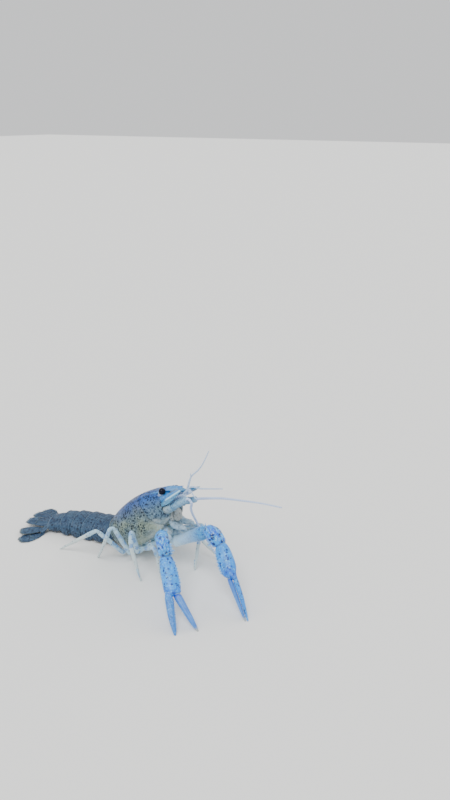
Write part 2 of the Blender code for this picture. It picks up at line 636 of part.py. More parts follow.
def build_cheliped(side, sign):
    bend, elbow, wrist = [on_floor_frame(*p) for p in CHELIPED_JOINTS[side]]
    fixed_tip = on_floor_frame(*FIXED_FINGER_TIP[side])
    moving_tip = on_floor_frame(*MOVING_FINGER_TIP[side])
    root = coxa_root(1, sign, COXA_A[1])
    out = belly_normal(COXA_A[1])
    below = root + out * ARM_DROP
    arm_run = (elbow - bend).normalized()
    elbow_arc = rounded_corner(bend, elbow, wrist, ELBOW_RADIUS, 3)
    path = [root] + rounded_corner(root, below, bend, ARM_ROOT_RADIUS, 3)
    path += rounded_corner(below, bend, elbow, ARM_BEND_RADIUS, 3)
    path.append(elbow_arc[0] - arm_run * GAP)
    hint = arm_run.cross(Vector((0.0, 0.0, 1.0)))
    arm = loft("cheliped_%s_arm" % side, tube_rings(path, ARM, 10, hint, out), "claw")

    claw_axis = (fixed_tip - wrist).normalized()
    wrist_run = (wrist - elbow).normalized()
    palm_face = (wrist_run + claw_axis).normalized()
    path = elbow_arc + [wrist - wrist_run * (GAP * 0.5)]
    slim = WRIST_SCALE[side]
    profile = [(share, half * slim, thick * slim) for share, half, thick in WRIST]
    rings = tube_rings(path, profile, 10, hint, arm_run, palm_face)
    carpus = loft("cheliped_%s_wrist" % side, rings, "claw")

    palm_start = wrist + claw_axis * (GAP * 0.5)
    if side == "right":
        inner = moving_tip - fixed_tip
    else:
        inner = claw_axis.cross(SIGHT)
    inner = (inner - claw_axis * claw_axis.dot(inner)).normalized()
    face = inner.cross(claw_axis)
    palm_length = (fixed_tip - palm_start).length * PALM_SHARE[side]
    rings = []
    for share, half, thick, shift in PALM[side]:
        centre = palm_start + claw_axis * (palm_length * share) + inner * (shift * PALM_SHIFT[side])
        across = inner
        upward = face
        if share == 0.0:
            across = (inner - palm_face * palm_face.dot(inner)).normalized()
            upward = across.cross(palm_face)
        rings.append(oval(centre, across, upward, half, thick, 12, 2.2))
    palm = loft("cheliped_%s_palm" % side, rings, "claw")
    fork = palm_start + claw_axis * palm_length
    fixed_shift, moving_shift = FINGER_SHIFT[side]
    path = [fork - claw_axis * FINGER_ROOT - inner * fixed_shift, fork - inner * fixed_shift,
            fork.lerp(fixed_tip, 0.5) - inner * (fixed_shift * FINGER_BOW), fixed_tip]
    rings = tube_rings(path, narrowed(FIXED_FINGER, FINGER_SCALE[side]), 8, inner, None, (0.0, 0.0, -1.0))
    palm = fuse(palm, [loft("finger", rings, "finger")])

    hinge = fork + inner * moving_shift + claw_axis * GAP
    rings = tube_rings([hinge, moving_tip], narrowed(MOVING_FINGER, FINGER_SCALE[side]), 8, inner,
                       claw_axis, (0.0, 0.0, -1.0))
    moving = loft("cheliped_%s_finger" % side, rings, "finger")
    return arm, carpus, palm, moving


# Abdomen: arched rings with hanging side plates, small swimmerets under them.
def tail_frames():
    """Joint planes of the abdomen: point, direction, across and up for each."""
    at = carapace_point(-GAP, 0.0, 0.0004)
    frames = []
    headings = []
    for sink, swing in zip(RING_SINK, RING_SWING):
        tilt = math.radians(sink)
        turn = math.radians(swing)
        headings.append(Vector((-math.cos(turn) * math.cos(tilt), -math.sin(turn) * math.cos(tilt),
                                -math.sin(tilt))))
    first = (carapace_point(-1.0, 0.0, 0.0) - carapace_point(0.0, 0.0, 0.0)).normalized()
    planes = [first] + [(p + q).normalized() for p, q in zip(headings, headings[1:])]
    planes.append(headings[-1])
    points = [at]
    for heading, length in zip(headings, RING_LENGTHS):
        at = at + heading * length
        points.append(at)
    for point, along in zip(points, planes):
        across = Vector((0.0, 0.0, 1.0)).cross(along).normalized()
        frames.append((point, along, across, along.cross(across)))
    return frames


def tail_ring(point, across, upward, half_width, height, drop):
    """One section: arched back, side plates hanging by drop, hollow belly."""
    left = []
    for step in range(5):
        t = 0.5 * math.pi * step / 4
        left.append((half_width * math.sin(t), height * 0.46 * math.cos(t) ** 0.9))
    left.append((half_width * 0.98, -height * 0.22 * drop))
    left.append((half_width * 0.88, -height * 0.46 * drop))
    left.append((half_width * 0.62, -height * 0.30 * drop))
    left.append((half_width * 0.30, -height * 0.20))
    outline = left + [(-u, v) for u, v in reversed(left[1:])]
    return [point + across * u + upward * v for u, v in outline]


def build_abdomen():
    frames = tail_frames()
    rings_made = []
    for index in range(6):
        p0, _, across0, up0 = frames[index]
        p1, _, across1, up1 = frames[index + 1]
        length = (p1 - p0).length
        wide = RING_HALF_WIDTHS[index]
        tall = RING_HEIGHTS[index]
        next_wide, next_tall = LAST_RING_END
        if index < 5:
            next_wide = RING_HALF_WIDTHS[index + 1]
            next_tall = RING_HEIGHTS[index + 1]
        rings = []
        for t, grow, drop in ((0.0, 0.94, 0.72), (0.22, 0.97, 0.86), (0.5, 1.0, 1.0),
                              (0.80, 1.02, 0.92), (1.0, 1.0, 0.74)):
            offset = GAP * 0.5 if t == 0.0 else (-GAP * 0.5 if t == 1.0 else 0.0)
            along = (p1 - p0) / length
            centre = p0.lerp(p1, t) + along * offset
            across = across0.lerp(across1, t).normalized()
            upward = up0.lerp(up1, t).normalized()
            width = (wide + (next_wide - wide) * max(0.0, t - 0.5)) * grow
            height = (tall + (next_tall - tall) * max(0.0, t - 0.5)) * grow
            if index == 5:
                width = (wide + (next_wide - wide) * t) * (grow if t < 0.5 else 1.0)
                height = (tall + (next_tall - tall) * t) * (grow if t < 0.5 else 1.0)
            rings.append(tail_ring(centre, across, upward, width, height, drop))
        piece = loft("abdomen_%d" % (index + 1), rings, "tail")
        paddles = []
        if index < 5:
            for sign in (-1, 1):
                for spread, reach in ((0.24, 0.0042), (0.50, 0.0038)):
                    root = p0.lerp(p1, 0.45) + across0 * (sign * wide * spread) - up0 * (tall * 0.10)
                    drop = -up0 * (tall * 0.30) + (p1 - p0).normalized() * reach * 0.75
                    tip = root + drop
                    profile = ((0.0, 0.0004, 0.0003), (0.4, 0.0006, 0.0003), (0.8, 0.0006, 0.0003),
                               (1.0, 0.0003, 0.0002))
                    rings = tube_rings([root, tip], profile, 6, across0)
                    paddles.append(loft("swimmeret", rings, "tail"))
        rings_made.append(fuse(piece, paddles))
    return rings_made


# Tail fan: the telson in the middle and two blades on each side.
FAN_THICKNESS = 0.0006
FAN_FALL = 0.20               # share of a blade's length in which it comes down to its level
FAN_BLADES = (
    ("telson", 0.0, 0.0, 0.00184, 0.0105, ((0.0, 0.0027), (0.20, 0.0031), (0.5, 0.0033),
                                          (0.62, 0.0030), (0.86, 0.0027), (1.0, 0.0016))),
    ("uropod_%s_inner", 0.0035, 22.0, 0.00092, 0.0112,
     ((0.0, 0.0004), (0.20, 0.0009), (0.36, 0.0019), (0.55, 0.0025), (0.76, 0.0027),
      (0.93, 0.0021), (1.0, 0.0012))),
    ("uropod_%s_outer", 0.0048, 46.0, 0.0, 0.0118,
     ((0.0, 0.0004), (0.20, 0.0009), (0.36, 0.0019), (0.55, 0.0027), (0.76, 0.0030),
      (0.93, 0.0022), (1.0, 0.0012))),
)


def build_tail_fan():
    point, along, across, upward = tail_frames()[-1]
    flat_along = Vector((along.x, along.y, 0.0)).normalized()
    flat_across = Vector((0.0, 0.0, 1.0)).cross(flat_along)
    blades = []
    for name, offset, spread, level, length, outline in FAN_BLADES:
        sides = ((1, "left"), (-1, "right")) if "%s" in name else ((0, ""),)
        for sign, side in sides:
            turn = math.radians(spread) * sign
            heading = flat_along * math.cos(turn) - flat_across * math.sin(turn)
            lateral = Vector((0.0, 0.0, 1.0)).cross(heading)
            root = point + along * (GAP * 0.5) - across * (sign * offset)
            root_z = root.z
            rings = []
            for t, half in outline:
                centre = root + heading * (length * t)
                fall = min(1.0, t / FAN_FALL)
                centre.z = root_z + (level + FAN_THICKNESS * 0.5 - root_z) * fall
                thick = FAN_THICKNESS * 0.5
                ring_across = lateral if t > 0.0 else across
                ring_up = Vector((0.0, 0.0, 1.0)) if t > 0.0 else upward
                corners = ((-half, -thick), (half, -thick), (half, thick), (-half, thick))
                rings.append([centre + ring_across * u + ring_up * v for u, v in corners])
            label = name % side if sign else name
            blades.append(loft(label, rings, "tail"))
    return blades


build_back_shield()
build_head_shield()
build_abdomen()
build_tail_fan()
build_mouth()
for side_name, side_sign in (("right", -1), ("left", 1)):
    build_eye(side_name, side_sign)
    build_antenna_base(side_name, side_sign)
    build_antennal_scale(side_name, side_sign)
    build_antenna(side_name, side_sign)
    build_antennule(side_name, side_sign)
    build_maxilliped(side_name, side_sign)
    build_cheliped(side_name, side_sign)
    for leg_number in (2, 3, 4, 5):
        build_leg(side_name, side_sign, leg_number)
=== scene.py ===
import math

import bmesh
import bpy
import numpy as np
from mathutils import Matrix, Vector


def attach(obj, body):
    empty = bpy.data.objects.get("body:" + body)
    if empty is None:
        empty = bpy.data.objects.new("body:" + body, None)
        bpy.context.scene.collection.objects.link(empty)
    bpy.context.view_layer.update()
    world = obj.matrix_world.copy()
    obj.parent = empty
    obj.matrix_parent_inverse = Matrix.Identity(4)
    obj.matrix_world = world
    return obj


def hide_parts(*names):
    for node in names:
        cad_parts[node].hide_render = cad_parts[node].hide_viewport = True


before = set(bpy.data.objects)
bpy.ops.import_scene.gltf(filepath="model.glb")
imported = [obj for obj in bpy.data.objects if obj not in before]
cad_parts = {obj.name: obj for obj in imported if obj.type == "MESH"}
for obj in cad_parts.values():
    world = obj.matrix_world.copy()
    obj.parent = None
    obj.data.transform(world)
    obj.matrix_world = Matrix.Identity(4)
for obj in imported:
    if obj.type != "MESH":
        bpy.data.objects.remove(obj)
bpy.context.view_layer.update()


# Camera, floor and light.
# The animal is seen from its right front and a little above; the floor is a plain pale
# sheet, lit by one large soft lamp from above and two weaker ones beside and behind.
BODY = Vector((0.00366, 0.00902, 0.0))  # the body's own place on the floor
VIEW_POINT = BODY + Vector((0.17474, -0.21784, 0.16599))
VIEW_TURN = 33.0  # degrees round from straight ahead of the lens
VIEW_DROP = 20.0  # degrees below level
LENS = 36.0  # focal length, as long as the sensor is wide
# Each lamp: its name, its place, how many degrees wide its light is, and its strength.
LAMPS = (("key", (0.10, -0.34, 0.62), 34.0, 2.2), ("fill", (-0.50, -0.40, 0.35), 50.0, 0.35),
         ("rim", (0.10, 0.60, 0.45), 40.0, 0.7))
FLOOR_REACH = 4.0
FLOOR_COLOUR = (0.84, 0.84, 0.82, 1.0)
ROOM_COLOUR = (0.94, 0.95, 0.96, 1.0)
ROOM_STRENGTH = 0.95


def set_up(name, data):
    """Put a new object with this data in the scene."""
    made = bpy.data.objects.new(name, data)
    bpy.context.scene.collection.objects.link(made)
    return made


lens = bpy.data.cameras.new("camera")
lens.lens = LENS
lens.sensor_width = LENS
lens.clip_start = 0.005
camera = set_up("camera", lens)
camera.location = VIEW_POINT
camera.rotation_euler = (math.radians(90.0 - VIEW_DROP), 0.0, math.radians(VIEW_TURN))
bpy.context.scene.camera = camera

for name, place, spread, power in LAMPS:
    lamp = bpy.data.lights.new(name, "SUN")
    lamp.angle = math.radians(spread)
    lamp.energy = power
    holder = set_up(name, lamp)
    holder.location = place
    holder.rotation_euler = (-Vector(place)).to_track_quat("-Z", "Y").to_euler()

world = bpy.data.worlds.new("studio")
world.use_nodes = True
room = world.node_tree.nodes["Background"].inputs
room["Color"].default_value = ROOM_COLOUR
room["Strength"].default_value = ROOM_STRENGTH
bpy.context.scene.world = world

sheet_mesh = bpy.data.meshes.new("floor")
corners = [(x * FLOOR_REACH, y * FLOOR_REACH, 0.0) for x, y in ((-1, -1), (1, -1), (1, 1), (-1, 1))]
sheet_mesh.from_pydata(corners, [], [(0, 1, 2, 3)])
sheet_paint = bpy.data.materials.new("floor")
sheet_paint.use_nodes = True
sheet_shader = sheet_paint.node_tree.nodes["Principled BSDF"].inputs
sheet_shader["Base Color"].default_value = FLOOR_COLOUR
sheet_shader["Roughness"].default_value = 0.8
sheet_mesh.materials.append(sheet_paint)
set_up("floor", sheet_mesh)


# Back shield: the rear part of the shell, a thin horny case over the gills.
# It grows in one piece; two fine seams run along the back, its rear and lower edges carry a
# pale rim, and fine dark lines wander over its see-through grey flanks.
GAP = 0.0003  # the space between neighbouring pieces
CARAPACE_LENGTH = 0.043
CARAPACE_PITCH = math.radians(32.4)  # how far the head is raised
PITCH_COS = math.cos(CARAPACE_PITCH)
PITCH_SIN = math.sin(CARAPACE_PITCH)
PIVOT_A = 0.020
PIVOT_HEIGHT = 0.0175
HEAD_FACE_A = 0.0315
GROOVE_A = 0.0200  # where the groove behind the head crosses the back
GROOVE_LEAN = 0.0085  # how much further forward it meets the lower edge
# Height of the top, half width and height of the lower edge, each at distances along the shell.
TOP_LINE = ((0.000, 0.0046), (0.004, 0.0064), (0.008, 0.0077), (0.014, 0.0089), (0.020, 0.0092),
            (0.025, 0.0090), (0.030, 0.0082), (0.034, 0.0071))
HALF_WIDTH = ((0.000, 0.0064), (0.003, 0.0077), (0.008, 0.0089), (0.013, 0.0093), (0.018, 0.0091),
              (0.022, 0.0085), (0.026, 0.0076), (0.030, 0.0061), (0.0315, 0.0051))
EDGE_LINE = ((0.000, -0.0036), (0.003, -0.0058), (0.008, -0.0075), (0.014, -0.0081),
             (0.019, -0.0079), (0.024, -0.0068), (0.028, -0.0050), (0.0315, -0.0030))
BELLY_RISE = 0.0011
BELLY_HALF_WIDTH = 0.0025
WAIST_SHARE = 0.42  # how high up its side the shell is widest
LIP = 0.0013  # thickness of the shell's turned-in lower edge
# Degrees round from the top, and the share of the lean there.
ARCH = ((0.0, 0.00), (18.0, 0.10), (36.0, 0.21), (54.0, 0.33), (72.0, 0.45), (90.0, 0.57))
FLANK_FULLNESS = 0.85
CROWN_FULLNESS = 0.95


def carapace_point(a, b, c):
    """The place of a point of the shell: a runs forward along it, b to its left, c up from its axis."""
    x = BODY.x + (a - PIVOT_A) * PITCH_COS - c * PITCH_SIN
    return Vector((x, BODY.y + b, PIVOT_HEIGHT + (a - PIVOT_A) * PITCH_SIN + c * PITCH_COS))


def carapace_place(grid):
    """The shell's own a, b, c of points on the floor frame."""
    x = grid[..., 0] - BODY.x
    z = grid[..., 2] - PIVOT_HEIGHT
    return (PIVOT_A + x * PITCH_COS + z * PITCH_SIN, grid[..., 1] - BODY.y,
            z * PITCH_COS - x * PITCH_SIN)


def blend(table, at):
    return float(np.interp(at, [row[0] for row in table], [row[1] for row in table]))


def belly_line(a):
    return blend(EDGE_LINE, a) + BELLY_RISE


def shield_ring(a, lean=0.0, shrink=0.0):
    """One ring of the shell: its foot stands lean further forward, and shrink draws it all in."""

    def section(down):
        at = a + lean * down
        return (at, blend(TOP_LINE, at) - shrink, blend(HALF_WIDTH, at) - shrink,
                blend(EDGE_LINE, at) + shrink)

    left = []
    for turn, down in ARCH:
        at, top, wide, edge = section(down)
        waist = edge + (top - edge) * WAIST_SHARE
        angle = math.radians(turn)
        left.append((at, wide * math.sin(angle) ** FLANK_FULLNESS,
                     waist + (top - waist) * math.cos(angle) ** CROWN_FULLNESS))
    at, top, wide, edge = section(0.80)
    waist = edge + (top + shrink - edge) * WAIST_SHARE
    left.append((at, wide * 0.985, edge + (waist - edge) * 0.45))
    at, top, wide, edge = section(1.0)
    left += [(at, wide - LIP * 0.4, edge + LIP * 0.5), (at, wide - LIP, edge),
             (at, wide - LIP * 1.6, edge + BELLY_RISE), (at, BELLY_HALF_WIDTH, edge + BELLY_RISE)]
    outline = left + [(at, -b, c) for at, b, c in reversed(left[1:])]
    return [carapace_point(at, b, c) for at, b, c in outline]


def curve(p0, p1, p2, p3, t):
    """A point of the smooth curve between the middle two of four points."""
    return 0.5 * (2 * p1 + (p2 - p0) * t + (2 * p0 - 5 * p1 + 4 * p2 - p3) * t * t
                  + (3 * p1 - p0 - 3 * p2 + p3) * t * t * t)


def refine(rings, around, along):
    """A finer net of points, on smooth curves through the points of the given rings."""
    sides = max(len(ring) for ring in rings)
    net = np.array([[tuple(p) for p in (ring if len(ring) == sides else list(ring) * sides)]
                    for ring in rings])
    step = np.arange(sides * around)
    near = step // around
    t = (step % around / around)[None, :, None]
    net = curve(*[net[:, (near + k) % sides] for k in (-1, 0, 1, 2)], t)
    net = np.concatenate([2 * net[:1] - net[1:2], net, 2 * net[-1:] - net[-2:-1]])
    rows = len(rings)
    step = np.arange((rows - 1) * along + 1)
    near = np.minimum(step // along, rows - 2)
    t = ((step - near * along) / along)[:, None, None]
    return curve(*[net[near + k] for k in (0, 1, 2, 3)], t)


def outward(net):
    """Unit normals of a net, pointing away from the middle of its rings."""
    round_way = np.roll(net, -1, axis=1) - np.roll(net, 1, axis=1)
    long_way = np.gradient(net, axis=0)
    normal = np.cross(round_way, long_way)
    length = np.linalg.norm(normal, axis=2, keepdims=True)
    normal = normal / np.maximum(length, 1e-12)
    away = net - net.mean(axis=1, keepdims=True)
    return normal * np.sign(np.sum(normal * away, axis=(1, 2), keepdims=True))


def skin(name, net, relief=0.0, grain=1.0):
    """A closed mesh over a net of points; relief lifts it, grain says where grains grow."""
    rows, sides, _ = net.shape
    net = net + outward(net) * np.broadcast_to(relief, (rows, sides))[..., None]
    faces = []
    for row in range(rows - 1):
        for i in range(sides):
            j = (i + 1) % sides
            faces.append((row * sides + i, row * sides + j, (row + 1) * sides + j, (row + 1) * sides + i))
    faces.append(tuple(range(sides)))
    faces.append(tuple(range((rows - 1) * sides, rows * sides)))
    mesh = bpy.data.meshes.new(name)
    mesh.from_pydata([tuple(p) for p in net.reshape(-1, 3)], [], faces)
    for label, values in (("run", np.linspace(0, 1, rows)[:, None]), ("grain", grain)):
        spread = mesh.attributes.new(label, "FLOAT", "POINT")
        spread.data.foreach_set("value", np.broadcast_to(values, (rows, sides)).reshape(-1))
    shell = bmesh.new()
    shell.from_mesh(mesh)
    bmesh.ops.remove_doubles(shell, verts=shell.verts, dist=1e-6)
    bmesh.ops.triangulate(shell, faces=[face for face in shell.faces if len(face.verts) > 4])
    bmesh.ops.recalc_face_normals(shell, faces=shell.faces)
    shell.to_mesh(mesh)
    shell.free()
    mesh.shade_smooth()
    return set_up(name, mesh)


class Reading:
    """A socket in a sum; each operator adds the Math node that does it."""

    def __init__(self, finish, socket):
        self.finish = finish
        self.socket = socket

    def maths(self, operation, first, second=0.0):
        return self.finish.node("ShaderNodeMath", {"operation": operation}, {0: first, 1: second})

    def __add__(self, other):
        return self.maths("ADD", self, other)

    def __radd__(self, other):
        return self.maths("ADD", other, self)

    def __sub__(self, other):
        return self.maths("SUBTRACT", self, other)

    def __rsub__(self, other):
        return self.maths("SUBTRACT", other, self)

    def __mul__(self, other):
        return self.maths("MULTIPLY", self, other)

    def __rmul__(self, other):
        return self.maths("MULTIPLY", other, self)

    def __abs__(self):
        return self.maths("ABSOLUTE", self)

    def held(self):
        """The value kept between 0 and 1."""
        return self.finish.node("ShaderNodeClamp", {}, {0: self})

    def sharp(self, gain, cut):
        """The value with its contrast raised by gain, less cut, kept between 0 and 1."""
        return (self * gain - cut).held()

    def step(self, low, high):
        """0 below low, 1 above high, and a soft rise between them."""
        return self.finish.node("ShaderNodeMapRange", {"interpolation_type": "SMOOTHSTEP"},
                                {0: self, 1: low, 2: high})

    def fall(self, low, high):
        """1 below low, 0 above high, and a soft fall between them."""
        return 1.0 - self.step(low, high)


class Finish:
    """A surface finish, built up node by node on one Principled shader."""

    def __init__(self, name, roughness, coat, glow=0.0, shine=0.35):
        self.material = bpy.data.materials.new(name)
        self.material.use_nodes = True
        self.tree = self.material.node_tree
        self.shader = self.tree.nodes["Principled BSDF"].inputs
        for label, value in (("Roughness", roughness), ("Coat Weight", coat), ("Coat Roughness", 0.15),
                             ("Specular IOR Level", shine), ("Subsurface Weight", glow),
                             ("Subsurface Radius", (0.6, 0.9, 1.0)), ("Subsurface Scale", 0.0012)):
            self.shader[label].default_value = value
        self.place = self.node("ShaderNodeTexCoord", {}, {}, "Object")

    def node(self, kind, settings, sockets, output=0):
        made = self.tree.nodes.new(kind)
        for key, value in settings.items():
            setattr(made, key, value)
        for key, value in sockets.items():
            self.feed(made.inputs[key], value)
        return Reading(self, made.outputs[output])

    def feed(self, socket, value):
        if isinstance(value, Reading):
            self.tree.links.new(value.socket, socket)
        else:
            socket.default_value = value

    def noise(self, scale, detail=3.0, distortion=0.0):
        return self.node("ShaderNodeTexNoise", {}, {"Vector": self.place, "Scale": scale,
                                                    "Detail": detail, "Distortion": distortion})

    def cells(self, scale):
        """Distance to the nearest of many scattered points: dots where it is small."""
        return self.node("ShaderNodeTexVoronoi", {}, {"Vector": self.place, "Scale": scale}, "Distance")

    def mix(self, share, low, high):
        made = self.tree.nodes.new("ShaderNodeMix")
        made.data_type = "RGBA"
        for index, value in ((0, share), (6, low), (7, high)):
            if isinstance(value, tuple):
                value = (*value, 1.0)
            self.feed(made.inputs[index], value)
        return Reading(self, made.outputs[2])

    def along(self, direction, start, end):
        """0 to 1 between two distances along a direction, from the floor frame's middle."""
        reach = self.node("ShaderNodeVectorMath", {"operation": "DOT_PRODUCT"},
                          {0: self.place, 1: direction}, "Value")
        return reach.step(start, end)

    def own(self, name):
        """A value that the mesh itself carries, such as run, the share of the piece's length."""
        return self.node("ShaderNodeAttribute", {"attribute_name": name}, {}, "Fac")

    def colour(self, value):
        self.feed(self.shader["Base Color"], value)

    def bump(self, height, depth):
        normal = self.node("ShaderNodeBump", {}, {"Height": height, "Distance": depth, "Strength": 1.0},
                           "Normal")
        self.feed(self.shader["Normal"], normal)


def hand_over(piece, finish, slot, *nodes):
    """Give a piece its finish and let it stand for its plain solids."""
    piece.data.materials.clear()
    piece.data.materials.append(finish.material)
    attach(piece, "root")
    if nodes:
        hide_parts(*nodes)


def bump_at(value, centre, width):
    return np.exp(-((value - centre) / width) ** 2)


def ramp(value, start, length, low=0.0, high=1.0):
    """A straight rise from 0 at start to 1 a length further on, kept between low and high."""
    return np.clip((value - start) / length, low, high)


FORWARD = (carapace_point(1.0, 0.0, 0.0) - carapace_point(0.0, 0.0, 0.0)).normalized()
REAR_EDGE = FORWARD.dot(carapace_point(0.0, 0.0, 0.0))
UP_BACK = (-PITCH_SIN, 0.0, PITCH_COS)
BACK_HEIGHT = PIVOT_HEIGHT * PITCH_COS - BODY.x * PITCH_SIN + 0.0092
# Depths below the crest of the back between which one colour gives way to the next.
BACK_TO_FLANK = (0.0078, 0.0008)
FLANK_TO_BELLY = (0.0165, 0.0110)
# The plain lower front: a direction, and the distances along it between which the lines fade.
CHEEK_LOW = ((0.194, 0.0, -0.981), -0.0192, -0.0170)
CHEEK_FRONT = ((1.0, 0.0, 0.0), 0.0062, 0.0104)
OLIVE = (0.330, 0.390, 0.250)
RIM_COLOUR = (0.300, 0.400, 0.410)
CHEEK_DARK = (0.200, 0.270, 0.280)
CHEEK_LIGHT = (0.400, 0.450, 0.430)


def shell_finish(name, back, flank, belly, line, rim=0.0):
    """The mottled shell: back, flank and belly colours, dark wandering lines and dots, and painted glints.

    The lines and dots fade out over the lower front, where the shell is plain and pale."""
    finish = Finish(name, 0.42, 0.08, 0.05, 0.18)
    height, low = [finish.along(UP_BACK, BACK_HEIGHT - deep, BACK_HEIGHT - shallow)
                   for deep, shallow in (BACK_TO_FLANK, FLANK_TO_BELLY)]
    cloud = finish.noise(230.0, 4.0, 0.6)
    fine = finish.noise(1300.0, 3.0)
    base = finish.mix((height + cloud * 0.8 - 0.4).held(), flank, back)
    base = finish.mix(((1.0 - low) * 0.9 + (cloud - 0.5) * 1.4).held(), base, belly)
    lines = finish.noise(560.0, 2.0, 1.8)
    wander = (1.0 - abs(lines - 0.5) * 15.0).held() * finish.noise(360.0).step(0.36, 0.50)
    dots = finish.cells(900.0).fall(0.24, 0.46) * finish.noise(260.0).step(0.32, 0.46)
    cheek = (finish.along(*CHEEK_LOW) * finish.along(*CHEEK_FRONT) * (cloud * 2.4 - 0.2)).held()
    mark = (wander + dots).held() * (low * 0.55 + 0.45) * (1.0 - cheek * 0.90)
    base = finish.mix(cheek * 0.85, base, finish.mix(lines.sharp(2.0, 0.5), CHEEK_DARK, CHEEK_LIGHT))
    tint = (1.0 - height) * finish.noise(150.0, 2.0).step(0.46, 0.64)
    paint = finish.mix(mark * 0.94, finish.mix(tint * 0.5, base, OLIVE), line)
    if rim:
        rear = finish.along(FORWARD, REAR_EDGE + 0.0003, REAR_EDGE + 0.0009)
        paint = finish.mix((1.0 - rear) * rim, paint, RIM_COLOUR)
    # Painted glints: pale flecks of brightened flank colour, fewer on the crest of the back.
    pale = fine.sharp(4.0, 2.1) * (1.0 - mark) * (1.0 - height * 0.85)
    finish.colour(finish.mix(pale * 0.55, paint, tuple(min(1.0, 2.6 * v) for v in flank)))
    finish.bump(fine + lines * 0.6 - dots * 0.5, 0.00005)
    return finish


stations = [(0.0, 0.0), (0.0012, 0.0), (0.0035, 0.0), (0.0065, 0.0), (0.0095, 0.0012),
            (0.0125, 0.0030), (0.0155, 0.0052), (0.0185, 0.0077), (GROOVE_A - GAP * 0.5, GROOVE_LEAN)]
net = refine([shield_ring(a, lean) for a, lean in stations], 7, 12)
a, b, c = carapace_place(net)
seam = 0.0008 + 0.0016 * np.abs((a - 0.010) / 0.010) ** 1.6
relief = -0.00013 * bump_at(np.abs(b), seam, 0.00020) * (c > 0.003)
relief += 0.00018 * bump_at(a, 0.0005, 0.0005) - 0.00012 * bump_at(a, 0.0017, 0.0004)
edge = np.interp(a, *zip(*EDGE_LINE))
relief += 0.00014 * bump_at(c, edge + 0.0006, 0.0006) - 0.00010 * bump_at(c, edge + 0.0019, 0.0005)
GROOVE_DEPTHS = np.array([0.00004, 0.00010, 0.00022, 0.00034])[:, None]
relief[-4:] -= GROOVE_DEPTHS
grain = ramp(a, 0.002, 0.010, 0.15) * (c > edge + 0.0015)
back_shield = skin("back_shield", net, relief, grain)
carapace_shell = shell_finish("back_shell", (0.014, 0.070, 0.300), (0.120, 0.180, 0.205),
                              (0.270, 0.330, 0.280), (0.006, 0.012, 0.024), 0.75)


# Grains: the low round bumps that roughen the shell of the flanks, the head and the claws.
# They are part of the shell itself, so they take its finish, and grow only where it lets them.
GRAIN_SIZES = (0.55, 1.2)  # smallest and largest, as shares of the radius given
GRAIN_HEIGHT = 0.55  # height as a share of width
GRAIN_CROWD = 3.0e6  # most grains to a square metre


def graft(tree, kind, settings, sockets):
    """A node of a growth tree, with its settings and the values or links of its sockets."""
    made = tree.nodes.new(kind)
    for key, value in settings.items():
        setattr(made, key, value)
    for key, value in sockets.items():
        if isinstance(value, bpy.types.NodeSocket):
            tree.links.new(value, made.inputs[key])
        else:
            made.inputs[key].default_value = value
    return made


def growth_tree(name, inputs):
    tree = bpy.data.node_groups.new(name, "GeometryNodeTree")
    tree.interface.new_socket("Skin", in_out="INPUT", socket_type="NodeSocketGeometry")
    for label, kind in inputs:
        tree.interface.new_socket(label, in_out="INPUT", socket_type="NodeSocket" + kind)
    tree.interface.new_socket("Skin", in_out="OUTPUT", socket_type="NodeSocketGeometry")
    return tree, tree.nodes.new("NodeGroupInput").outputs


def close_growth(tree, shape, material):
    real = graft(tree, "GeometryNodeRealizeInstances", {}, {0: shape})
    smooth = graft(tree, "GeometryNodeSetShadeSmooth", {}, {"Geometry": real.outputs[0]})
    painted = graft(tree, "GeometryNodeSetMaterial", {},
                    {"Geometry": smooth.outputs[0], "Material": material})
    graft(tree, "NodeGroupOutput", {}, {0: painted.outputs[0]})


def grow(piece, tree, values):
    """Run a growth tree on a piece once and keep the plain mesh that comes out."""
    growth = piece.modifiers.new("growth", "NODES")
    growth.node_group = tree
    for item in tree.interface.items_tree:
        if item.in_out == "INPUT" and item.name in values:
            growth[item.identifier] = values[item.name]
    ready = piece.evaluated_get(bpy.context.evaluated_depsgraph_get())
    mesh = bpy.data.meshes.new_from_object(ready)
    piece.modifiers.remove(growth)
    piece.data = mesh


grain_tree, entry = growth_tree("grains", (("Spacing", "Float"), ("Radius", "Float"),
                                           ("Height share", "Float"), ("Seed", "Int"),
                                           ("Finish", "Material")))
share = graft(grain_tree, "GeometryNodeInputNamedAttribute", {"data_type": "FLOAT"}, {"Name": "grain"})
spots = graft(grain_tree, "GeometryNodeDistributePointsOnFaces", {"distribute_method": "POISSON"},
              {"Mesh": entry["Skin"], "Distance Min": entry["Spacing"], "Density Max": GRAIN_CROWD,
               "Density Factor": share.outputs[0], "Seed": entry["Seed"]})
size = graft(grain_tree, "FunctionNodeRandomValue", {"data_type": "FLOAT"},
             {2: GRAIN_SIZES[0], 3: GRAIN_SIZES[1]})
wide = graft(grain_tree, "ShaderNodeMath", {"operation": "MULTIPLY"},
             {0: size.outputs[1], 1: entry["Radius"]})
tall = graft(grain_tree, "ShaderNodeMath", {"operation": "MULTIPLY"},
             {0: wide.outputs[0], 1: entry["Height share"]})
scale = graft(grain_tree, "ShaderNodeCombineXYZ", {},
              {0: wide.outputs[0], 1: wide.outputs[0], 2: tall.outputs[0]})
ball = graft(grain_tree, "GeometryNodeMeshUVSphere", {}, {"Segments": 7, "Rings": 5, "Radius": 1.0})
placed = graft(grain_tree, "GeometryNodeInstanceOnPoints", {},
               {"Points": spots.outputs["Points"], "Instance": ball.outputs[0],
                "Rotation": spots.outputs["Rotation"], "Scale": scale.outputs[0]})
together = graft(grain_tree, "GeometryNodeJoinGeometry", {}, {0: entry["Skin"]})
grain_tree.links.new(placed.outputs[0], together.inputs[0])
close_growth(grain_tree, together.outputs[0], entry["Finish"])


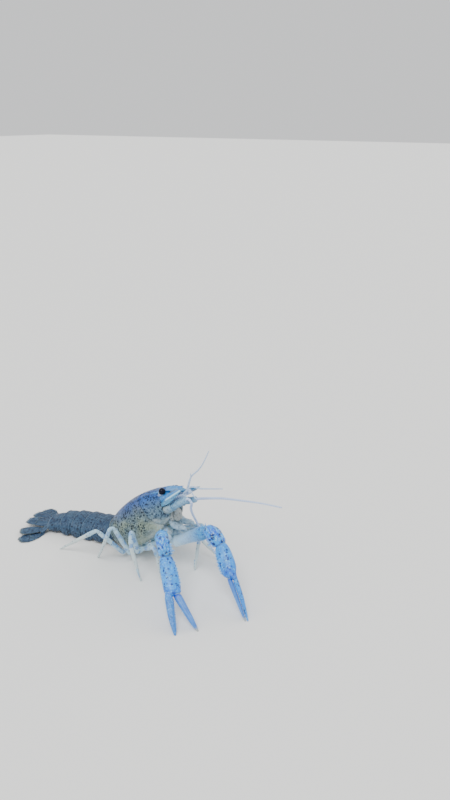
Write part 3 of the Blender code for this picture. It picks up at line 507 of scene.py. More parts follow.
def roughen(piece, finish, spacing, radius, seed):
    grow(piece, grain_tree, {"Spacing": spacing, "Radius": radius, "Height share": GRAIN_HEIGHT,
                             "Seed": seed, "Finish": finish.material})


roughen(back_shield, carapace_shell, 0.00085, 0.00010, 3)
hand_over(back_shield, carapace_shell, "shell", "thorax_carapace")


# Head shield: the front part of the shell, hardened like the back shield.
# It ends in the beak between the eyes, whose edges stand up round a shallow trough, and carries
# a ridge with a spine behind each eye, a hollow round the eye and a spine on each cheek.
SIDES = (("right", -1), ("left", 1))
LEFTWARD = Vector((0.0, 1.0, 0.0))
UPWARD = Vector((0.0, 0.0, 1.0))
EYE_CENTRE = {"right": (0.0340, 0.0042, 0.0074), "left": (0.0333, 0.0041, 0.0054)}
# Share of a thorn's length, and of its thickness there.
THORN = ((0.0, 1.25), (0.2, 1.0), (0.5, 0.66), (0.8, 0.34), (0.95, 0.14))
# Root and tip of each spine in the shell's own frame, and its radius.
HEAD_SPINES = (("brow", (0.0282, 0.0042, 0.0063), (0.0322, 0.0053, 0.0069), 0.00045),
               ("cheek", (0.0270, 0.0064, 0.0000), (0.0300, 0.0083, 0.0002), 0.00042),
               ("jaw", (0.0296, 0.0056, -0.0012), (0.0322, 0.0062, -0.0010), 0.00040))


def oval(centre, across, upward, half_width, half_height, sides, squareness=2.0):
    ring = []
    for i in range(sides):
        angle = 2.0 * math.pi * (i + 0.5) / sides
        u, v = [math.copysign(abs(way) ** (2.0 / squareness), way) * half
                for way, half in ((math.cos(angle), half_width), (math.sin(angle), half_height))]
        ring.append(centre + across * u + upward * v)
    return ring


def thorn_net(root, tip, radius):
    along = (tip - root).normalized()
    hint = UPWARD if abs(along.z) < 0.8 else Vector((1.0, 0.0, 0.0))
    across = hint.cross(along).normalized()
    rings = [oval(root.lerp(tip, share), across, along.cross(across), radius * size, radius * size, 6)
             for share, size in THORN]
    return refine(rings + [[tip]], 2, 2)


def gather(piece, others):
    """Join further skins into a piece as one mesh."""
    whole = bmesh.new()
    for part in [piece] + others:
        whole.from_mesh(part.data)
    whole.to_mesh(piece.data)
    whole.free()
    piece.data.shade_smooth()
    for part in others:
        bpy.data.objects.remove(part)
    return piece


stations = [(GROOVE_A + GAP * 0.5, GROOVE_LEAN), (0.0216, 0.0074), (0.0240, 0.0056), (0.0263, 0.0038),
            (0.0285, 0.0022), (0.0303, 0.0009), (HEAD_FACE_A, 0.0)]
net = refine([shield_ring(a, lean, 0.0005 if a == HEAD_FACE_A else 0.0) for a, lean in stations], 7, 14)
a, b, c = carapace_place(net)
ridge_b = 0.0036 + 0.10 * (a - 0.0225)
relief = 0.00030 * bump_at(np.abs(b), ridge_b, 0.00045) * (c > 0.004) * ramp(a, 0.0215, 0.003)
relief -= 0.00018 * bump_at(np.abs(b), ridge_b - 0.0011, 0.0006) * (c > 0.004)
relief += 0.00016 * bump_at(a - 0.55 * (0.008 - c), 0.0206, 0.0005)
for side, sign in SIDES:
    eye_a, eye_b, eye_c = EYE_CENTRE[side]
    far = np.sqrt((a - eye_a + 0.0012) ** 2 + (b - sign * eye_b) ** 2 + (c - eye_c) ** 2)
    relief -= 0.00050 * np.exp(-(far / 0.0016) ** 2)
    cheek_line = -0.0002 + 0.45 * (a - 0.0260)
    relief += 0.00026 * bump_at(c, cheek_line, 0.0005) * (b * sign > 0) * ramp(a, 0.0262, 0.003)
relief[:4] -= GROOVE_DEPTHS[::-1]
grain = np.clip((0.0325 - a) / 0.006, 0.1, 0.8) * (c > belly_line(0.030) - 0.004)
head_shield = skin("head_shield", net, relief, grain)
spines = []
for side, sign in SIDES:
    for name, root, tip, radius in HEAD_SPINES:
        ends = [carapace_point(a, sign * b, c) for a, b, c in (root, tip)]
        spines.append(skin(name, thorn_net(*ends, radius)))
gather(head_shield, spines)
head_shell = shell_finish("head_shell", (0.016, 0.110, 0.420), (0.110, 0.190, 0.255),
                          (0.160, 0.205, 0.225), (0.008, 0.018, 0.045))
roughen(head_shield, head_shell, 0.00090, 0.00009, 5)
hand_over(head_shield, head_shell, "head", "head_carapace")

# The keel along each feeler scale carries a painted highlight: the direction across it, how far
# along that direction it lies, where it starts on the way forward, and how far from the middle the scales
# are.
KEEL_ACROSS = (-0.643, -0.088, 0.761)
KEEL_AT = 0.01270
KEEL_FROM = FORWARD.dot(Vector((0.01300, 0.00418, 0.02800)))
KEEL_ASIDE = (0.0034, 0.0040)
KEEL_SPAN = 0.010
face_shell = Finish("face_shell", 0.38, 0.12, 0.06)
cloud = face_shell.noise(300.0, 4.0, 0.8)
paint = face_shell.mix(cloud.sharp(2.2, 0.6), (0.020, 0.170, 0.500), (0.070, 0.300, 0.620))
below = 1.0 - face_shell.along(KEEL_ACROSS, KEEL_AT - 0.0004, KEEL_AT + 0.0002)
paint = face_shell.mix((below * (0.55 + cloud * 0.5)).held(), paint, (0.085, 0.280, 0.430))
paint = face_shell.mix(face_shell.cells(820.0).step(0.12, 0.28), (0.025, 0.075, 0.200), paint)
# Painted highlight: a pale streak along the keel ridge of each feeler scale.
keel_highlight = face_shell.along(KEEL_ACROSS, KEEL_AT - 0.00042, KEEL_AT - 0.00016)
keel_highlight = keel_highlight * (1.0 - face_shell.along(KEEL_ACROSS, KEEL_AT + 0.00010, KEEL_AT + 0.00030))
keel_highlight = keel_highlight * face_shell.along(FORWARD, KEEL_FROM, KEEL_FROM + 0.0012)
aside = face_shell.along(tuple(LEFTWARD), BODY.y - KEEL_SPAN, BODY.y + KEEL_SPAN) - 0.5
aside = abs(aside) * (2.0 * KEEL_SPAN)
paint = face_shell.mix(keel_highlight * aside.step(*KEEL_ASIDE) * 0.9, paint, (0.480, 0.800, 0.980))
glints = face_shell.noise(1400.0).sharp(4.0, 2.2)
face_shell.colour(face_shell.mix(glints * 0.5, paint, (0.38, 0.62, 0.88)))
face_shell.bump(cloud, 0.00004)

# The beak: distance along the shell, half width, height of its top and depth of each ring.
BEAK = ((0.0262, 0.0026, 0.0084, 0.0022), (0.0290, 0.0030, 0.0080, 0.0022),
        (0.0320, 0.0028, 0.0076, 0.0019), (0.0350, 0.0025, 0.0069, 0.0014),
        (0.0380, 0.0020, 0.0058, 0.0011), (0.0396, 0.0012, 0.0050, 0.0010),
        (0.0410, 0.0006, 0.0044, 0.0007), (0.0424, 0.0003, 0.0038, 0.0004))
TROUGH_DEPTH = 0.00055
# The round root of each short feeler: steps along it and the share of its full girth.
SOCKET = ((-1.0, 0.2), (-0.85, 0.55), (-0.4, 0.95), (0.1, 1.0), (0.6, 0.78), (0.9, 0.42), (1.0, 0.12))
rings = []
for a, half, top, depth in BEAK:
    rim = min(TROUGH_DEPTH, half * 0.3)
    left = ((0.0, top - rim), (half * 0.45, top - rim * 0.8), (half * 0.80, top - 0.0001),
            (half, top - 0.0001), (half * 0.98, top - depth * 0.45), (half * 0.45, top - depth * 0.95),
            (0.0, top - depth))
    rings.append([carapace_point(a, b, c) for b, c in left + tuple((-b, c) for b, c in left[-2:0:-1])])
rings.append([carapace_point(CARAPACE_LENGTH, 0.0, 0.0036)])
beak = skin("beak", refine(rings, 5, 8))
parts = []
for side, sign in SIDES:
    parts.append(skin("tooth", thorn_net(carapace_point(0.0378, sign * 0.0017, 0.0057),
                                         carapace_point(0.0393, sign * 0.0022, 0.0054), 0.00035)))
    rings = [oval(carapace_point(HEAD_FACE_A + 0.0016 + 0.0030 * t, sign * 0.0030, 0.0047), LEFTWARD,
                  FORWARD.cross(LEFTWARD), 0.0018 * size, 0.0019 * size, 12) for t, size in SOCKET]
    parts.append(skin("socket", refine(rings, 3, 4)))
gather(beak, parts)
hand_over(beak, face_shell, "head")


# Eyes: a black round cornea on a short movable stalk that sits in the hollow beside the beak.
# The cornea is smooth and wet; the stalk and the rim below the cornea are pale shell.
CORNEA_RADIUS = 0.00134
# Distances along the stalk, as shares of its length, and its radius there.
EYE_STALK = ((0.0, 0.0009), (0.25, 0.0008), (0.45, 0.0009), (0.58, 0.00108), (0.66, 0.00112), (0.72, 0.00104))
# Distances along the rim from its middle, and its radius there.
EYE_RIM = ((-0.0009, 0.0), (-0.00075, 0.00095), (-0.00035, 0.00122), (0.0, 0.00130), (0.00022, 0.0010),
           (0.0003, 0.0))


def turned(centre, along, across, profile, sides):
    """Rings of a turned form: the profile gives distances along its axis and radii."""
    return [oval(centre + along * at, across, across.cross(along), radius, radius, sides)
            for at, radius in profile]


eye_black = Finish("cornea", 0.16, 0.05, shine=0.12)
eye_black.colour(eye_black.mix(eye_black.cells(9000.0).step(0.1, 0.6), (0.001, 0.0015, 0.006),
                               (0.003, 0.005, 0.018)))
stalk_shell = Finish("eye_stalk", 0.40, 0.2, 0.06)
stalk_shell.colour(stalk_shell.mix(stalk_shell.noise(900.0), (0.26, 0.38, 0.58), (0.50, 0.58, 0.74)))
for side, sign in SIDES:
    eye_a, eye_b, eye_c = EYE_CENTRE[side]
    root = carapace_point(HEAD_FACE_A - 0.0008, sign * 0.0031, eye_c - 0.0014)
    centre = carapace_point(eye_a, sign * eye_b, eye_c)
    along = (centre - root).normalized()
    across = (LEFTWARD - along * along.y).normalized()
    dome = [(CORNEA_RADIUS * math.cos(math.radians(turn)), CORNEA_RADIUS * math.sin(math.radians(turn)))
            for turn in range(180, -15, -15)]
    cornea = skin("cornea_" + side, refine(turned(centre, along, across, dome, 12), 3, 2))
    hand_over(cornea, eye_black, "eye", "eye_" + side)
    length = (centre - root).length
    rings = turned(root, along, across, [(share * length, size) for share, size in EYE_STALK], 10)
    stalk = skin("eye_stalk_" + side, refine(rings, 3, 3))
    middle = centre - along * 0.00080 + FORWARD * 0.00028 - across.cross(along) * 0.00012
    gather(stalk, [skin("eye_rim", refine(turned(middle, along, across, EYE_RIM, 12), 3, 2))])
    hand_over(stalk, stalk_shell, "head")


# Feeler bases: each long feeler leaves a jointed base of three drums, hard and smooth.
# The drums are hinged to each other by soft pale skin, so the base narrows at each joint.
ANTENNA_BASE_AT = (0.0036, 0.0003)
ANTENNA_BASE_END = {"right": (0.0440, 0.0049, 0.0012), "left": (0.0393, 0.0049, -0.0014)}
# Share of the length, half width and half height.
BASE_PROFILE = ((0.0, 0.0018, 0.0017), (0.10, 0.0020, 0.0018), (0.34, 0.0019, 0.0017),
                (0.38, 0.0015, 0.0013), (0.60, 0.0016, 0.0014), (0.64, 0.0013, 0.0012),
                (0.95, 0.0013, 0.0012), (1.0, 0.0009, 0.0008))


def tube_rings(path, profile, sides, across_hint, start=None, end=None):
    """Oval rings along a bent path; the profile gives (share of length, half width, half height)."""
    runs = [(q - p).length for p, q in zip(path, path[1:])]
    corners = [0.0]
    for run in runs:
        corners.append(corners[-1] + run / sum(runs))
    corners[-1] = 1.0
    extra = [row[0] for row in profile if min(abs(row[0] - corner) for corner in corners) > 0.025]
    heights = [(row[0], row[2]) for row in profile]
    across = Vector(across_hint)
    rings = []
    for share in sorted(corners + extra):
        run = max(i for i in range(len(runs)) if corners[i] <= share or i == 0)
        at = (share - corners[run]) / (corners[run + 1] - corners[run])
        along = (path[run + 1] - path[run]).normalized()
        if at == 0.0 and run > 0:
            along = along + (path[run] - path[run - 1]).normalized()
        if share == 0.0 and start is not None:
            along = start
        if share == 1.0 and end is not None:
            along = end
        along = along.normalized()
        across = (across - along * along.dot(across)).normalized()
        rings.append(oval(path[run].lerp(path[run + 1], at), across, across.cross(along),
                          blend(profile, share), blend(heights, share), sides))
    return rings


def shares(net):
    """How far along the net's middle line each of its rings lies, from 0 to 1."""
    middle = net.mean(axis=1)
    run = np.concatenate([[0.0], np.cumsum(np.linalg.norm(np.diff(middle, axis=0), axis=1))])
    return (run / run[-1])[:, None]


def pinch(share, joints, depth, width, collar=0.5):
    """Relief of joints: a tight waist at each share, with a low collar before and after it."""
    lift = np.zeros_like(share)
    for joint in joints:
        lift -= depth * bump_at(share, joint, width)
        lift += depth * collar * (bump_at(share, joint - 2.2 * width, width)
                                  + bump_at(share, joint + 2.2 * width, width))
    return lift


drum_shell = Finish("feeler_base", 0.38, 0.15, 0.06)
cloud = drum_shell.noise(420.0, 4.0, 0.8)
flecks = drum_shell.noise(1300.0, 2.0, 1.0).step(0.56, 0.66)
paint = drum_shell.mix(cloud, (0.14, 0.34, 0.54), (0.30, 0.50, 0.64))
paint = drum_shell.mix(drum_shell.own("run").fall(0.05, 0.42), paint, (0.320, 0.400, 0.420))
drum_shell.colour(drum_shell.mix((flecks * 0.7).held(), paint, (0.03, 0.08, 0.18)))
drum_shell.bump(cloud, 0.00003)
for side, sign in SIDES:
    end_a, end_b, end_c = ANTENNA_BASE_END[side]
    root = carapace_point(HEAD_FACE_A - 0.0006, sign * ANTENNA_BASE_AT[0], ANTENNA_BASE_AT[1])
    end = carapace_point(end_a, sign * end_b, end_c)
    net = refine(tube_rings([root, end], BASE_PROFILE, 10, LEFTWARD, FORWARD), 4, 8)
    base = skin("feeler_base_" + side, net, pinch(shares(net), (0.37, 0.63), 0.00018, 0.012))
    spine = [root.lerp(end, share) + Vector((0.0, sign * aside, drop))
             for share, aside, drop in ((0.28, 0.0014, -0.0005), (0.50, 0.0021, -0.0008))]
    gather(base, [skin("spine", thorn_net(*spine, 0.0003))])
    hand_over(base, drum_shell, "feeler", "antenna_base_" + side)


# Feeler scales: a thin blade over the outside of each base, stiff along its outer edge,
# which ends in a spine, and fringed with soft hairs along its inner edge.
SCALE_DROP = {"right": 0.0, "left": 0.0022}
SCALE_LOWER = {"right": 0.0, "left": 0.0003}
SCALE_TILT = {"right": math.radians(50), "left": math.radians(30)}
SCALE_THICKNESS = 0.0004
# Place of each ring in the shell's own frame, its half width, and its share of the drop.
SCALE = ((HEAD_FACE_A - 0.0004, 0.0044, 0.0030, 0.0010, 0.0), (0.0335, 0.0047, 0.0034, 0.0016, 0.1),
         (0.0365, 0.0049, 0.0040, 0.0020, 0.4), (0.0395, 0.0048, 0.0045, 0.0017, 0.7),
         (0.0418, 0.0049, 0.0049, 0.0009, 0.9))
HAIR_RADIUS = 0.00003

hair_tree, entry = growth_tree("hairs", (("Finish", "Material"),))
lean, reach = [graft(hair_tree, "GeometryNodeInputNamedAttribute", {"data_type": "FLOAT_VECTOR"},
                     {"Name": name}) for name in ("lean", "reach")]
turn = graft(hair_tree, "FunctionNodeAlignRotationToVector", {"axis": "Z"}, {"Vector": lean.outputs[0]})
cone = graft(hair_tree, "GeometryNodeMeshCone", {"fill_type": "NGON"},
             {"Vertices": 5, "Side Segments": 3, "Radius Top": 0.12, "Radius Bottom": 1.0, "Depth": 1.0})
placed = graft(hair_tree, "GeometryNodeInstanceOnPoints", {},
               {"Points": entry["Skin"], "Instance": cone.outputs["Mesh"],
                "Rotation": turn.outputs[0], "Scale": reach.outputs[0]})
close_growth(hair_tree, placed.outputs[0], entry["Finish"])


def hairs(name, rows, finish, slot):
    """Tapered hairs or thorns: each row gives root, direction, half thickness and length."""
    mesh = bpy.data.meshes.new(name)
    mesh.from_pydata([tuple(row[0]) for row in rows], [], [])
    for label, values in (("lean", [tuple(row[1]) for row in rows]),
                          ("reach", [(row[2], row[2], row[3]) for row in rows])):
        carried = mesh.attributes.new(label, "FLOAT_VECTOR", "POINT")
        carried.data.foreach_set("vector", [number for value in values for number in value])
    piece = set_up(name, mesh)
    grow(piece, hair_tree, {"Finish": finish.material})
    hand_over(piece, finish, slot)


def hair_finish(name, dark, light):
    finish = Finish(name, 0.55, 0.0)
    finish.colour(finish.mix(finish.noise(700.0), dark, light))
    return finish


def girth(net):
    """How far round its ring each of the net's points lies, from 0 to 1."""
    return np.arange(net.shape[1])[None, :] / net.shape[1]


hair_pale = hair_finish("hairs", (0.22, 0.27, 0.30), (0.46, 0.50, 0.50))
wobble = np.random.default_rng(11)
for side, sign in SIDES:
    rings = []
    inner = []
    for a, b, c, half, share in SCALE:
        height = c - SCALE_DROP[side] * share - SCALE_LOWER[side]
        centre = carapace_point(a, sign * b, height)
        outside = carapace_point(a, sign * (b + math.cos(SCALE_TILT[side])),
                                 height - math.sin(SCALE_TILT[side])) - centre
        outside.normalize()
        rings.append(oval(centre, outside, outside.cross(FORWARD), half, SCALE_THICKNESS, 8))
        inner.append((centre - outside * half, outside))
    rings.append([carapace_point(0.0438, sign * 0.0053, 0.0050 - SCALE_DROP[side] - SCALE_LOWER[side])])
    net = refine(rings, 5, 10)
    share = shares(net)
    from_edge = np.minimum(girth(net), 1.0 - girth(net))
    relief = 0.00018 * bump_at(from_edge, 0.0, 0.05) * (share < 0.93)
    relief -= 0.00008 * bump_at(from_edge, 0.10, 0.03)
    off_keel = net @ np.array(KEEL_ACROSS) - KEEL_AT
    relief = relief + 0.00012 * bump_at(off_keel, 0.0, 0.00022) * (share > 0.15)
    hand_over(skin("feeler_scale_" + side, net, relief), face_shell, "head", "antennal_scale_" + side)
    rows = []
    for (p, out_p), (q, out_q) in zip(inner[1:], inner[2:]):
        for step in range(16):
            t = (step + wobble.random()) / 16
            away = (-(out_p.lerp(out_q, t)) + FORWARD * 0.9 + Vector(wobble.normal(0, 0.06, 3))).normalized()
            rows.append((p.lerp(q, t), away, HAIR_RADIUS, 0.0008 + 0.0004 * wobble.random()))
    hairs("scale_fringe_" + side, rows, hair_pale, "feeler")


# Long feelers: whips of more than a hundred short horny rings, thinner towards the tip.
# The left one is held out level to the front, the right one curves down to the floor.
LONG_FEELER = (0.00050, 0.00024, 0.00030)  # radius at the root and the tip, length of a ring
ANTENNA_ROUTE = {
    "right": ((0.0212, -0.0049, 0.0314), (0.0217, -0.0047, 0.0304), (0.0213, -0.0042, 0.0291),
              (0.0205, -0.0034, 0.0272), (0.0202, -0.0018, 0.0240), (0.0205, 0.0010, 0.0187),
              (0.0219, 0.0025, 0.0142), (0.0245, 0.0034, 0.0094), (0.0280, 0.0040, 0.0050),
              (0.0318, 0.0040, 0.0018), (0.0355, 0.0036, 0.0007)),
    "left": ((0.0190, 0.0055, 0.0272), (0.0225, 0.0064, 0.0279), (0.0275, 0.0078, 0.0286),
             (0.0340, 0.0100, 0.0286), (0.0410, 0.0130, 0.0281), (0.0480, 0.0160, 0.0270)),
}


def on_floor_frame(x, y, z=0.0):
    return Vector((BODY.x + x, BODY.y + y, z))


def smooth_route(points, steps):
    """Points along a smooth curve through the given ones."""
    ends = [points[0] * 2 - points[1]] + points + [points[-1] * 2 - points[-2]]
    route = [curve(*ends[i:i + 4], step / steps) for i in range(len(points) - 1) for step in range(steps)]
    return route + [points[-1]]


def whip(name, route, thick, thin, ring_length, hint):
    """A ringed whip: each short horny ring swells a little before the next."""
    path = smooth_route(route, 12)
    runs = [(q - p).length for p, q in zip(path, path[1:])]
    count = int(sum(runs) / ring_length) * 3
    corners = np.concatenate([[0.0], np.cumsum(runs)]) / sum(runs)
    spots = np.linspace(0.0, 1.0, count + 1)
    along = [Vector([np.interp(t, corners, [p[k] for p in path]) for k in range(3)]) for t in spots]
    across = Vector(hint)
    rings = []
    for i, centre in enumerate(along):
        run = (along[min(i + 1, count)] - along[max(i - 1, 0)]).normalized()
        across = (across - run * run.dot(across)).normalized()
        size = (thick + (thin - thick) * spots[i]) * (1.0, 1.10, 0.90)[i % 3]
        rings.append(oval(centre, across, across.cross(run), size, size, 8))
    return skin(name, np.array([[tuple(p) for p in ring] for ring in rings]))


def feeler_finish(name, light, dark, bands):
    """Ringed with darker bands, so many to the length, under a cloudy bloom."""
    finish = Finish(name, 0.42, 0.1, 0.06)
    wave = finish.own("run") * bands
    saw = finish.node("ShaderNodeMath", {"operation": "FRACT"}, {0: wave})
    band = saw.step(0.55, 0.75) * saw.fall(0.85, 1.0)
    cloud = finish.noise(260.0)
    finish.colour(finish.mix((band * 0.7 + (cloud - 0.5) * 0.8).held(), light, dark))
    return finish


for side, sign in SIDES:
    whip_shell = feeler_finish("feeler_" + side, (0.58, 0.72, 0.98), (0.24, 0.34, 0.66), 46.0)
    end_a, end_b, end_c = ANTENNA_BASE_END[side]
    base = carapace_point(HEAD_FACE_A, sign * ANTENNA_BASE_AT[0], ANTENNA_BASE_AT[1])
    root = carapace_point(end_a, sign * end_b, end_c)
    leave = (root - base).normalized()
    route = [root - leave * 0.0004, root + leave * 0.0009] + [on_floor_frame(*p) for p in ANTENNA_ROUTE[side]]
    hint = (1.0, 0.0, 0.0) if side == "right" else UPWARD
    hand_over(whip("long_feeler_" + side, route, *LONG_FEELER, hint), whip_shell, "feeler",
              "antenna_%s_inner" % side, "antenna_%s_outer" % side)


# Short feelers: a jointed base under the beak on each side that carries two fine whips,
# the outer one held up and forward to pick up scents.
SHORT_FEELER = (0.00040, 0.00018, 0.00026)  # radius at the root and the tip, length of a ring
ANTENNULE_ROUTES = {
    "right": (((0.0195, -0.0020, 0.0352), (0.0245, -0.0026, 0.0362), (0.0350, -0.0042, 0.0396)),
              ((0.0190, -0.0024, 0.0342), (0.0212, -0.0030, 0.0330), (0.0228, -0.0034, 0.0318))),
    "left": (((0.0164, 0.0025, 0.0365), (0.0190, 0.0035, 0.0397), (0.0206, 0.0045, 0.0425),
              (0.0223, 0.0060, 0.0474)),
             ((0.0166, 0.0020, 0.0362), (0.0168, 0.0018, 0.0385))),
}
SHORT_BASE = ((0.0, 0.0010, 0.0010), (0.2, 0.0011, 0.0011), (0.58, 0.0010, 0.0010),
              (0.64, 0.0008, 0.0008), (1.0, 0.0008, 0.0008))
short_shell = feeler_finish("short_feelers", (0.54, 0.68, 0.88), (0.20, 0.30, 0.56), 26.0)
for side, sign in SIDES:
    root, knuckle, end = [carapace_point(a, sign * b, c) for a, b, c in
                          ((HEAD_FACE_A - 0.0004, 0.0012, 0.0030), (0.0375, 0.0014, 0.0026),
                           (0.0412, 0.0015, 0.0025))]
    net = refine(tube_rings([root, knuckle, end], SHORT_BASE, 8, LEFTWARD, FORWARD), 4, 8)
    base = skin("short_feeler_" + side, net, pinch(shares(net), (0.32, 0.62), 0.00014, 0.014))
    gather(base, [whip("short_whip", [knuckle.lerp(end, 0.5)] + [on_floor_frame(*p) for p in route],
                       *SHORT_FEELER, (0.0, 1.0, 0.3)) for route in ANTENNULE_ROUTES[side]])
    hand_over(base, short_shell, "feeler", "antennule_" + side)


# Claw limbs: a thick arm, a short wrist and the claw, hard blue shell with darker spots.
# Rows of blunt knobs run along the inner edges, and pale soft skin shows in the joints.
# Where the limbs leave the belly, by number from the claws back: distance along it and aside.
COXA_A = {1: 0.0250, 2: 0.0187, 3: 0.0140, 4: 0.0094, 5: 0.0052}
COXA_B = {1: 0.0036, 2: 0.0046, 3: 0.0050, 4: 0.0049, 5: 0.0043}
# The bend, the elbow and the wrist of each limb, then the tips of its two fingers.
CHELIPED_JOINTS = {
    "right": ((0.0112, -0.0092, 0.0124), (0.0205, -0.0215, 0.0251), (0.0225, -0.0220, 0.0170)),
    "left": ((0.0090, -0.0002, 0.0080), (0.0308, -0.0053, 0.0222), (0.0350, -0.0055, 0.0176)),
}
FIXED_FINGER_TIP = {"right": (0.0380, -0.0380), "left": (0.0543, -0.0179)}
MOVING_FINGER_TIP = {"right": (0.0430, -0.0320), "left": (0.0535, -0.0184)}
# Share of the length, half width and half height; the palm's rows end with their shift inwards.
ARM = ((0.0, 0.0016, 0.0016), (0.10, 0.0016, 0.0016), (0.24, 0.0017, 0.0018),
       (0.40, 0.0020, 0.0022), (0.66, 0.0021, 0.0024), (0.88, 0.0025, 0.0028),
       (0.95, 0.0023, 0.0025), (1.0, 0.0017, 0.0018))
WRIST = ((0.0, 0.0017, 0.0018), (0.12, 0.0024, 0.0025), (0.45, 0.0030, 0.0028),
         (0.85, 0.0027, 0.0025), (1.0, 0.0021, 0.0020))
PALM = {
    "right": ((0.0, 0.0020, 0.0018, 0.0), (0.07, 0.0024, 0.0020, 0.1), (0.28, 0.0029, 0.0023, 0.4),
              (0.60, 0.0031, 0.0023, 0.8), (0.86, 0.0030, 0.0021, 1.0), (0.96, 0.0027, 0.0018, 1.0)),
    "left": ((0.0, 0.0019, 0.0018, 0.0), (0.07, 0.0024, 0.0020, 0.1), (0.28, 0.0029, 0.0023, 0.4),
             (0.54, 0.0031, 0.0023, 0.8), (0.74, 0.0029, 0.0021, 1.0), (0.90, 0.0022, 0.0017, 1.0)),
}
FIXED_FINGER = ((0.05, 0.0014, 0.0014), (0.14, 0.0015, 0.0014), (0.50, 0.0013, 0.0013),
                (0.80, 0.0009, 0.0010), (1.0, 0.0004, 0.0004))
MOVING_FINGER = ((0.0, 0.0012, 0.0012), (0.08, 0.0014, 0.0014), (0.40, 0.0012, 0.0013),
                 (0.75, 0.0009, 0.0010), (1.0, 0.0004, 0.0004))
WRIST_SCALE = {"right": 0.82, "left": 1.0}
PALM_SHARE = {"right": 0.50, "left": 0.44}
PALM_SHIFT = {"right": 0.0009, "left": 0.0003}
FINGER_SCALE = {"right": 1.0, "left": 0.62}
FINGER_BOW = 0.8
FINGER_SHIFT = {"right": (0.0006, 0.0023), "left": (0.0008, 0.00115)}
FLAT_FACES = Vector((0.512, -0.788, 0.342))  # the way the flat of the left claw faces
FLOOR_CLEAR = 0.00009  # room left above the floor for the relief
FINGER_RIB = 0.00012
CLAW_HIP_DROP = 0.0034  # how far down a limb runs before its first bend
TOOTH = (0.00026, 0.00040)  # half thickness and height of the fingers' teeth
PALM_KNOB = (0.00034, 0.00062)
WRIST_KNOB = (0.00032, 0.00075)
# The rows of knobs on the palm: share of its length, shift inwards, and share of its half width.
PALM_CREST = ((0.12, 0.1, 0.86), (0.35, 0.4, 0.98), (0.62, 0.8, 1.02), (0.8, 1.0, 0.95))
WRIST_SPIKE = (0.00055, 0.0019)
ARM_SPIKE = (0.00032, 0.0013)
ARM_SPIKES_AT = ((0.0022, 0.0004), (0.0036, -0.0012), (0.0024, -0.0019))  # back from the elbow, aside
# The rows of knobs on the palm: share of its length, shift inwards, and share of its half width.
PALM_CREST = ((0.12, 0.1, 0.86), (0.35, 0.4, 0.98), (0.62, 0.8, 1.02), (0.8, 1.0, 0.95))
# Soft skin in a joint: distances along it, and the share of its full girth there.
JOINT_BEAD = ((-0.0009, 0.0), (-0.0007, 0.55), (-0.0003, 0.9), (0.0, 1.0), (0.0003, 0.9),
              (0.0007, 0.55), (0.0009, 0.0))


def belly_normal(a):
    rear, front = [carapace_point(at, 0.0, belly_line(at)) for at in (a - 0.001, a + 0.001)]
    return LEFTWARD.cross(front - rear).normalized()


def rounded_corner(before, corner, after, radius, steps=4):
    """Points of the arc that rounds a corner, from one run to the next."""
    back = before - corner
    ahead = after - corner
    half = 0.5 * back.angle(ahead)
    reach = min(radius / math.tan(half), 0.45 * back.length, 0.45 * ahead.length)
    radius = reach * math.tan(half)
    middle = corner + (back.normalized() + ahead.normalized()).normalized() * (radius / math.sin(half))
    first = corner + back.normalized() * reach - middle
    last = corner + ahead.normalized() * reach - middle
    turn = first.angle(last)
    points = []
    for step in range(steps + 1):
        share = turn * step / steps
        points.append(middle + (first * math.sin(turn - share) + last * math.sin(share)) / math.sin(turn))
    return points


def claw_finish(name, light, deep, royal=0.0, spot_scale=700.0, tip=0.0, pale=(), glint=(0.26, 0.68, 1.00)):
    """Blue claw shell: cloudy light blue with royal blots and dark cells.

    A claw's tip is deeper blue, and an arm is pale up to the shares of its length in pale."""
    finish = Finish(name, 0.42, 0.08, 0.05)
    cloud = finish.noise(320.0, 4.0, 0.8)
    spots = finish.cells(spot_scale).fall(0.24, 0.42)
    fine = finish.noise(1700.0, 3.0)
    paint = finish.mix(cloud.sharp(2.2, 0.6), light, tuple(0.62 * value for value in light))
    if royal:
        blots = finish.noise(380.0, 3.0, 1.4).step(0.47, 0.60)
        paint = finish.mix(blots * royal, paint, (0.010, 0.130, 0.700))
    paint = finish.mix(spots * finish.noise(260.0).step(0.30, 0.44) * 0.95, paint, deep)
    if tip:
        run = finish.own("run")
        fork = run.step(0.34, 0.46) * run.fall(0.54, 0.68)
        paint = finish.mix((fork * (cloud * 2.2 - 0.4)).held() * 0.8, paint, (0.010, 0.110, 0.620))
        paint = finish.mix(run.step(0.50, 0.75) * tip, paint, (0.045, 0.180, 0.540))
    paint = finish.mix(fine.sharp(4.0, 2.1) * 0.8, paint, glint)
    if pale:
        run = finish.own("run")
        root = finish.mix(run.step(0.22, 0.50), (0.400, 0.470, 0.480), (0.620, 0.840, 0.980))
        paint = finish.mix(run.fall(*pale) * (0.6 + cloud * 0.5), paint, root)
        freckles = finish.cells(1100.0).step(0.12, 0.26)
        paint = finish.mix(freckles * 0.35 + 0.65, (0.160, 0.300, 0.480), paint)
    finish.colour(paint)
    finish.bump(fine + spots * 0.8, 0.00004)
    return finish


def stud_row(route, outward_to, count, size, reach, wander):
    """Rows for blunt knobs along a route, leaning towards outward_to."""
    rows = []
    for i in range(count):
        t = (i + 0.5) / count * (len(route) - 1)
        spot = route[int(t)].lerp(route[int(t) + 1], t - int(t))
        lean = (outward_to + Vector(wobble.normal(0, wander, 3))).normalized()
        grow_by = 0.8 + 0.4 * wobble.random()
        rows.append((spot, lean, size * grow_by, reach * grow_by))
    return rows


def finger_ribs(round_it, width, aside):
    """A rib along the middle of each face of a finger, with a groove on either side of it."""
    relief = 0.0
    for middle in (0.21, 0.71):
        relief = relief + bump_at(round_it, middle, width)
        relief = relief - bump_at(round_it, middle - aside, 0.03) - bump_at(round_it, middle + aside, 0.03)
    return FINGER_RIB * relief


